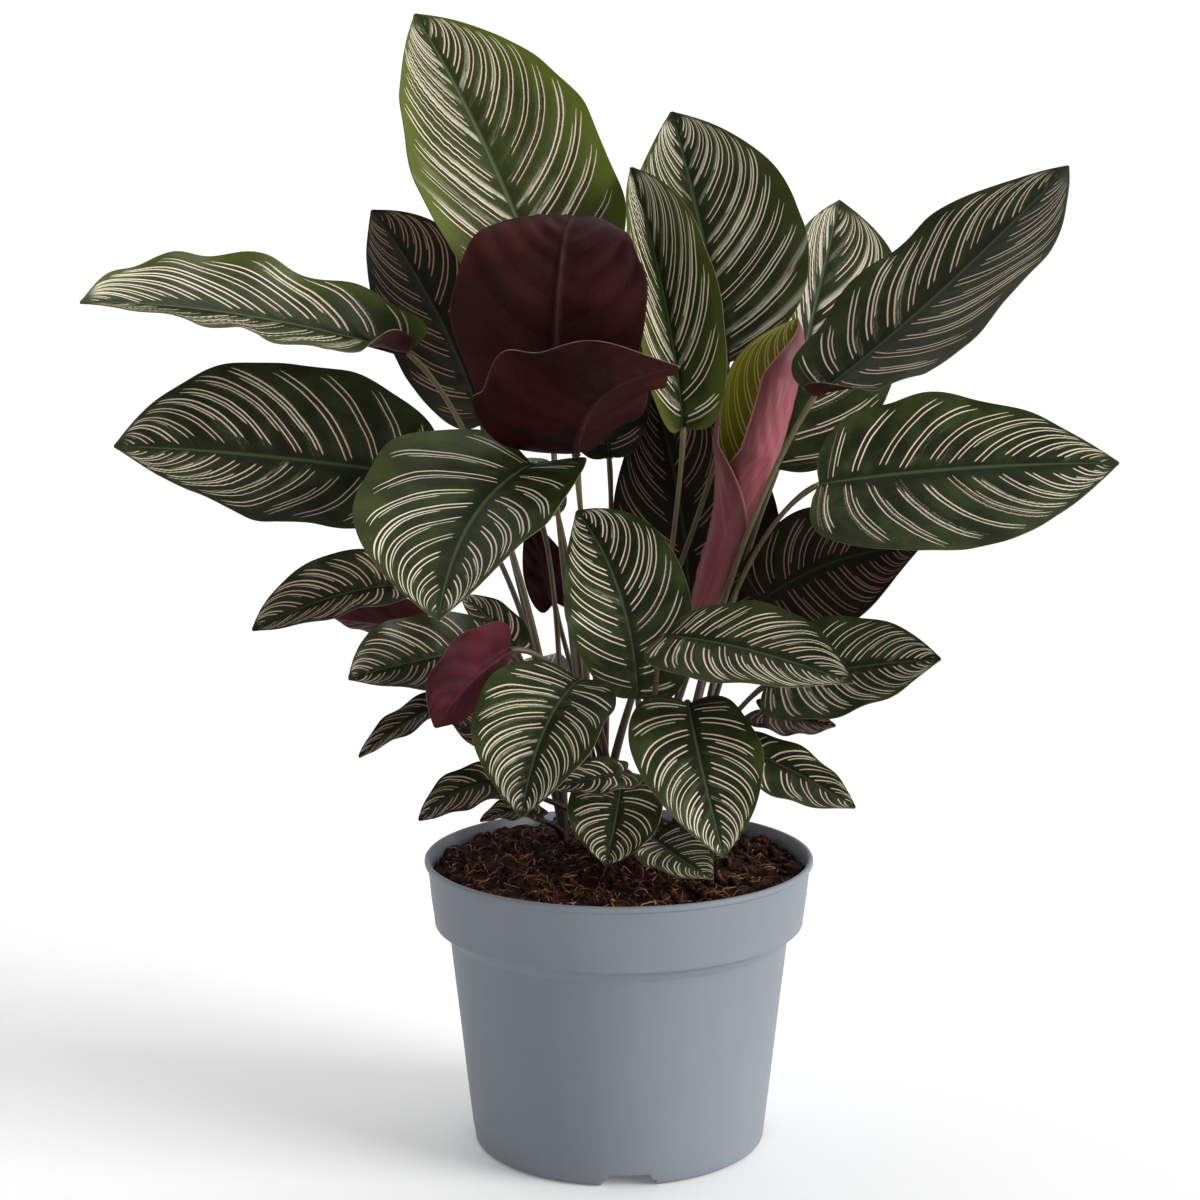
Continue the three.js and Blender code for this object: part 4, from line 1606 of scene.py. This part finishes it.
@dataclass
class Shoots:
    """The stalks, which rise in bundles out of the soil."""

    places: dict[str, Pair] = field(
        default_factory=lambda: {
            "shoot_left": (-28, 38),
            "shoot_front_left": (-15, 22),
            "shoot_front": (-1, 10),
            "shoot_front_right": (15, 7),
            "shoot_right": (28, 18),
            "shoot_back_right": (36, 38),
            "shoot_centre": (12, 32),
            "shoot_back": (-8, 46),
        }
    )
    sides: int = 12
    steps: int = 40
    radius: float = 1.26
    sheath: float = 1.3
    swelling: float = 0.2
    swelling_place: float = 0.95
    swelling_length: float = 0.05
    buried: float = 14
    lean: float = 0.5
    gap: float = 0.14
    greenest: float = 300

    def curve(self, blade: Blade, soil: "Soil") -> list[Vector]:
        """Leads a stalk from the soil to its blade.

        Args:
            blade: The blade that it carries.
            soil: The soil that it stands in.

        Returns:
            The four points of its Bezier curve.
        """
        leaf = blade.leaf
        x, y = self.places[leaf.shoot]
        _, along, up, _ = blade.axes(0)
        start = Vector((x, y, soil.height(x, y)))
        arrive = (along + up * self.lean).normalized()
        end = blade.midrib[0] - arrive * self.gap
        length = (end - start).length
        above = start + Vector((0, 0, length * leaf.rise))
        return [start, above, end - arrive * length * leaf.reach, end]

    def add_stalk(self, mesh: bmesh.types.BMesh, points: list[Vector], leaf: Leaf) -> None:
        """Adds one stalk to a shoot's mesh.

        Args:
            mesh: The shoot's mesh.
            points: The stalk's curve.
            leaf: The leaf that it carries.
        """
        side = (points[3] - points[0]).cross(Vector((0, 0, 1)))
        side = side.normalized() if side.length > 1e-6 else Vector((1, 0, 0))
        layers = mesh.verts.layers.float

        def place(share: float, angle: float, full: float) -> Vector:
            """A point of the stalk, for add_tube."""
            centre = bezier(points, share)
            ahead, behind = min(1.0, share + 0.01), max(0.0, share - 0.01)
            along = (bezier(points, ahead) - bezier(points, behind)).normalized()
            across = (side - along * side.dot(along)).normalized()
            wide = 1 + self.sheath * (1 - share) ** 3
            past = (share - self.swelling_place) / self.swelling_length
            swell = self.swelling * math.exp(-(past**2))
            around = across * math.cos(angle) + along.cross(across) * math.sin(angle)
            sunk = along * (self.buried if share < 1e-4 else 0)
            return (centre + around * self.radius * (wide + swell) * full - sunk) * MM

        for vert in add_tube(mesh, self.sides, self.steps, place):
            vert[layers["tone"]] = leaf.tone
            vert[layers["rise"]] = vert.co.z / MM / self.greenest

    def build(self, soil: "Soil") -> None:
        """Makes every shoot.

        Args:
            soil: The soil that they stand in.
        """
        skin = StalkSkin().build()
        for name in self.places:
            mesh = bmesh.new()
            for layer in ("rise", "tone"):
                mesh.verts.layers.float.new(layer)
            for leaf in (each for each in LEAVES if each.shoot == name):
                self.add_stalk(mesh, self.curve(Blade(leaf), soil), leaf)
            new_piece(f"stalks_{name.removeprefix('shoot_')}", mesh, [skin], Slot.STEM, [name])


# --- Soil ---------------------------------------------------------------------------


@dataclass
class Soil:
    """Crumbly peat, heaped a little round the shoots, with fibres on it."""

    level: float = 135.5
    heap: float = 3
    heap_radius: float = 60
    heap_centre: Pair = (-12, 28)
    bump: float = 1.4
    # How far the soil rises at the back wall, where its dark peat covers the inner wall as painted
    # shade.
    bank: float = 2.4
    lump: float = 1.8
    lump_size: float = 9
    grit: float = 2
    grit_size: float = 4.2
    grain: float = 0.6
    grain_size: float = 1.3
    edge: float = 90.4
    foot_edge: float = 84.4
    rings: int = 110
    segments: int = 300
    depth: float = 20
    crumbs: int = 900
    crumb_seed: int = 11
    smallest_crumb: float = 0.8
    usual_crumb: float = 1.6
    large_crumb: float = 2
    fibres: int = 420
    fibre_seed: int = 5
    fibre_length: Pair = (4, 15)
    fibre_thickness: Pair = (0.16, 0.42)
    fibre_curl: float = 1.4
    fibre_arch: Pair = (0.2, 2.5)

    def height(self, x: float, y: float) -> float:
        """The soil's surface below its crumbs, a little higher at the back than the frame's, where
        raised dark soil stands in as painted shade over the inner wall.

        Args:
            x: Millimetres to the right.
            y: Millimetres to the back.

        Returns:
            Its height in millimetres.
        """
        away = math.hypot(x - self.heap_centre[0], y - self.heap_centre[1])
        heap = self.heap * math.exp(-((away / self.heap_radius) ** 2))
        bumps = math.sin(x * 0.21 + 1) * math.cos(y * 0.17) + 0.6 * math.sin(x * 0.09 - y * 0.13)
        # Painted shade: dark soil raised towards the back wall covers the inner wall where it stands
        # in shade.
        bank = self.bank * max(0.0, y / self.edge) * (math.hypot(x, y) / self.edge) ** 4
        return self.level + heap + bank + self.bump * bumps

    def rough(self, x: float, y: float) -> float:
        """How far crumbs raise the surface.

        Args:
            x: Millimetres to the right.
            y: Millimetres to the back.

        Returns:
            The rise in millimetres, below 0 in a hollow.
        """
        where = Vector((x, y, 0))
        lumps = self.lump * noise.fractal(where / self.lump_size, 0.9, 2.1, 3)
        nearest = noise.voronoi(where / self.grit_size)[0][0]
        grains = self.grain * noise.noise(where / self.grain_size)
        return lumps + self.grit * (0.5 - nearest) + grains

    def build(self) -> None:
        """Makes the soil, its crumbs and its fibres."""
        peat = Peat().build()
        self.build_ground(peat)
        self.build_crumbs(peat)
        self.build_fibres(Fibre().build())

    def build_ground(self, peat: bpy.types.Material) -> None:
        """Makes the soil's body by turning its outline, then roughens its top.

        Args:
            peat: The soil's material.
        """
        low = self.level - self.depth
        outline = [(0, low), (self.foot_edge, low)]
        outline += [(self.edge * (1 - i / self.rings), self.level) for i in range(self.rings + 1)]
        mesh = turned(outline, self.segments)
        for vert in mesh.verts:
            if vert.co.z > (self.level - 1) * MM:
                x, y = vert.co.x / MM, vert.co.y / MM
                vert.co.z = (self.height(x, y) + self.rough(x, y)) * MM
        bmesh.ops.recalc_face_normals(mesh, faces=mesh.faces)
        new_piece("soil_ground", mesh, [peat], Slot.PEAT, ["soil"])

    def spot(self, draw: random.Random) -> Pair:
        """A random place on the soil."""
        radius = (self.edge - 3) * math.sqrt(draw.random())
        angle = math.tau * draw.random()
        return radius * math.cos(angle), radius * math.sin(angle)

    def build_crumbs(self, peat: bpy.types.Material) -> None:
        """Scatters lumps of peat over the soil.

        Args:
            peat: Their material.
        """
        draw = random.Random(self.crumb_seed)
        mesh = bmesh.new()
        for _ in range(self.crumbs):
            x, y = self.spot(draw)
            largest = self.usual_crumb + self.large_crumb * draw.random() ** 3
            size = draw.uniform(self.smallest_crumb, largest) * MM
            z = (self.height(x, y) + self.rough(x, y)) * MM + size * 0.4
            spin = Matrix.Rotation(draw.uniform(0, math.tau), 4, Vector((draw.random(), 1, 1)))
            scale = Matrix.Diagonal((draw.uniform(0.6, 1.5), 1, draw.uniform(0.5, 1), 1))
            middle = Vector((x * MM, y * MM, z))
            place = Matrix.Translation(middle) @ spin @ scale
            made = bmesh.ops.create_icosphere(mesh, subdivisions=1, radius=size, matrix=place)
            for vert in made["verts"]:
                vert.co = middle + (vert.co - middle) * draw.uniform(0.75, 1.2)
        new_piece("soil_crumbs", mesh, [peat], Slot.PEAT)

    def build_fibres(self, fibre: bpy.types.Material) -> None:
        """Lays bent fibres over the soil.

        Args:
            fibre: Their material.
        """
        draw = random.Random(self.fibre_seed)
        mesh = bmesh.new()
        for _ in range(self.fibres):
            x, y = self.spot(draw)
            length = draw.uniform(*self.fibre_length)
            thick = draw.uniform(*self.fibre_thickness)
            heading = draw.uniform(0, math.tau)
            curl = draw.uniform(-self.fibre_curl, self.fibre_curl)
            arch = draw.uniform(*self.fibre_arch)

            def place(share: float, angle: float, full: float) -> Vector:
                """A point of the fibre, for add_tube."""
                turn = heading + curl * (share - 0.5)
                cx = x + length * (share - 0.5) * math.cos(turn)
                cy = y + length * (share - 0.5) * math.sin(turn)
                keep = min(1.0, (self.edge - 1) / math.hypot(cx, cy))
                cx, cy = cx * keep, cy * keep
                lift = 0.3 + arch * math.sin(math.pi * share)
                cz = self.height(cx, cy) + self.rough(cx, cy) + lift
                slim = thick * (1 - 0.7 * abs(2 * share - 1) ** 3) * full
                side, up = slim * math.cos(angle), slim * math.sin(angle)
                return Vector((cx - math.sin(turn) * side, cy + math.cos(turn) * side, cz + up)) * MM

            add_tube(mesh, 5, 8, place)
        bmesh.ops.recalc_face_normals(mesh, faces=mesh.faces)
        new_piece("soil_fibres", mesh, [fibre], Slot.PEAT)


# --- Pot ----------------------------------------------------------------------------


@dataclass
class Pot:
    """A nursery pot with a stacking collar and drain channels in its foot."""

    height: float = 143
    rim: float = 95
    collar_top: float = 93
    collar_bottom: float = 90.2
    collar_z: float = 111
    shoulder_z: float = 100
    body_top: float = 82.4
    body_bottom: float = 71.8
    wall: float = 2
    floor: float = 2.4
    corner_z: float = 8
    segments: int = 300
    channel_angle: float = -86
    channel_height: float = 6
    mouth: float = 13
    roof: float = 9.5
    channel_depth: float = 24
    squeeze: float = 0.4
    crisp_angle: float = 24

    def outline(self) -> list[Pair]:
        """The wall's outline, from the middle of the foot over the rim to the inner floor."""
        top, rim, wall, floor = self.height, self.rim, self.wall, self.floor
        foot, body, shoulder = self.body_bottom, self.body_top, self.shoulder_z
        low, low_z, high = self.collar_bottom, self.collar_z, self.collar_top
        outside = [
            (0, 0), (foot - 30, 0), (foot - 24.2, 0), (foot - 23.8, 0), (foot - 14, 0),
            (foot - 6, 0), (foot - 3.2, 0), (foot - 2.2, 0.35), (foot - 1.1, 1.1),
            (foot - 0.35, 2.1), (foot, 3.2), (foot + 0.3, 6.2), (foot + 0.6, 9),
            (foot + 3.2, 32), (foot + 6.4, 62), (body - 0.35, 96),
            (body - 0.05, shoulder - 1), (body + 0.25, shoulder + 1), (body + 1.1, low_z - 5.8),
            (body + 1.7, low_z - 4.4), (body + 2.8, low_z - 3.5), (low - 0.9, low_z - 1),
            (low - 0.2, low_z - 0.5), (low + 0.05, low_z + 0.2), (low + 0.1, low_z + 1.4),
            (high - 1.2, 124), (high, top - 7), (high + 0.6, top - 3.6), (rim - 0.7, top - 3.1),
            (rim - 0.1, top - 2.5), (rim, top - 1.7), (rim - 0.1, top - 0.8),
            (rim - 0.6, top - 0.2), (rim - 1.3, top),
        ]
        inside = [
            (rim - 2.1, top - 0.2), (rim - 2.6, top - 0.9), (high - wall, top - 7),
            (low - wall, low_z), (body - wall, shoulder), (foot - wall + 0.4, self.corner_z),
            (foot - wall - 3, floor), (foot - 24.2, floor), (foot - 30, floor), (0, floor),
        ]
        return outside + inside

    def channel(self, x: float, y: float) -> float:
        """How high a drain channel lifts the foot.

        Args:
            x: Millimetres to the right.
            y: Millimetres to the back.

        Returns:
            The lift in millimetres, 0 beside the channels.
        """
        radius = math.hypot(x, y)
        if radius < self.body_bottom - self.channel_depth:
            return 0.0
        turn = math.degrees(math.atan2(y, x)) - self.channel_angle
        turn = (turn + 45) % 90 - 45
        aside = abs(radius * math.sin(math.radians(turn)))
        slope = (self.mouth - aside) / (self.mouth - self.roof)
        return self.channel_height * clamp(slope)

    def build(self) -> None:
        """Makes the pot by turning its outline, then lifts the drain channels."""
        mesh = turned(self.outline(), self.segments)
        for vert in mesh.verts:
            lift = self.channel(vert.co.x / MM, vert.co.y / MM)
            z = vert.co.z / MM
            if z < self.floor + 0.1:
                vert.co.z = (z + lift) * MM
            elif z < self.corner_z + 0.5:
                vert.co.z = max(z, lift + (z - self.floor) * self.squeeze) * MM
        bmesh.ops.recalc_face_normals(mesh, faces=mesh.faces)
        piece = new_piece("nursery_pot", mesh, [PotPlastic().build()], Slot.PLASTIC, ["pot"])
        piece.data.set_sharp_from_angle(angle=math.radians(self.crisp_angle))


# --- Studio -------------------------------------------------------------------------


@dataclass
class Studio:
    """The floor, the light, the surroundings and the camera."""

    distance: float = 1.2
    eye: float = 0.4594
    pitch_down: float = 9.02
    lens: float = 75.63
    sensor: float = 36
    shift: float = -0.01575
    sun_from: Triple = (0.92, -0.37, 0.34)
    sun_strength: float = 3.3
    sun_angle: float = 34
    front_light: float = 0.36
    back_light: float = 1.05
    light_fade: float = 0.3
    floor_reach: float = 60

    def build(self) -> None:
        """Makes the floor, the surroundings, the sun and the camera."""
        self.build_floor()
        self.build_world()
        self.build_sun()
        self.build_camera()

    def build_floor(self) -> None:
        """Makes a wide floor."""
        mesh = bmesh.new()
        bmesh.ops.create_grid(mesh, x_segments=8, y_segments=8, size=self.floor_reach)
        floor = link_mesh("floor", mesh)
        floor.data.materials.append(PaleFloor().build())

    def build_world(self) -> None:
        """Makes surroundings that are white behind the plant and dim in front of it."""
        world = bpy.data.worlds.new("studio")
        bpy.context.scene.world = world
        world.use_nodes = True
        tree = world.node_tree
        ray = tree.nodes.new("ShaderNodeTexCoord")
        split = tree.nodes.new("ShaderNodeSeparateXYZ")
        fade = tree.nodes.new("ShaderNodeMapRange")
        tree.links.new(ray.outputs["Generated"], split.inputs[0])
        tree.links.new(split.outputs["Y"], fade.inputs["Value"])
        limits = {
            "From Min": -self.light_fade,
            "From Max": self.light_fade,
            "To Min": self.front_light,
            "To Max": self.back_light,
        }
        for name, limit in limits.items():
            fade.inputs[name].default_value = limit
        back = tree.nodes["Background"]
        back.inputs["Color"].default_value = (1.0, 1.0, 1.0, 1.0)
        tree.links.new(fade.outputs[0], back.inputs["Strength"])
        bpy.context.scene.view_settings.view_transform = "Standard"

    def build_sun(self) -> None:
        """Adds a large soft light from the right and a little in front."""
        data = bpy.data.lights.new("key", "SUN")
        data.energy = self.sun_strength
        data.angle = math.radians(self.sun_angle)
        lamp = link("key", data)
        lamp.location = self.sun_from
        lamp.rotation_euler = Vector(self.sun_from).to_track_quat("Z", "Y").to_euler()

    def build_camera(self) -> None:
        """Places the camera as the photograph's stood."""
        data = bpy.data.cameras.new("camera")
        data.lens = self.lens
        data.sensor_width = self.sensor
        data.shift_x = self.shift
        data.clip_start, data.clip_end = 0.01, 100
        camera = link("camera", data)
        camera.location = (0, -self.distance, self.eye)
        camera.rotation_euler = (math.radians(90 - self.pitch_down), 0, 0)
        bpy.context.scene.camera = camera


def main() -> None:
    """Builds the studio, the pot, the soil, the stalks and the blades."""
    logging.basicConfig(level=logging.INFO, format="%(name)s: %(message)s")
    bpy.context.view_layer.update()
    Studio().build()
    soil = Soil()
    Pot().build()
    soil.build()
    Shoots().build(soil)
    Foliage().build()


if __name__ == "__main__":
    main()
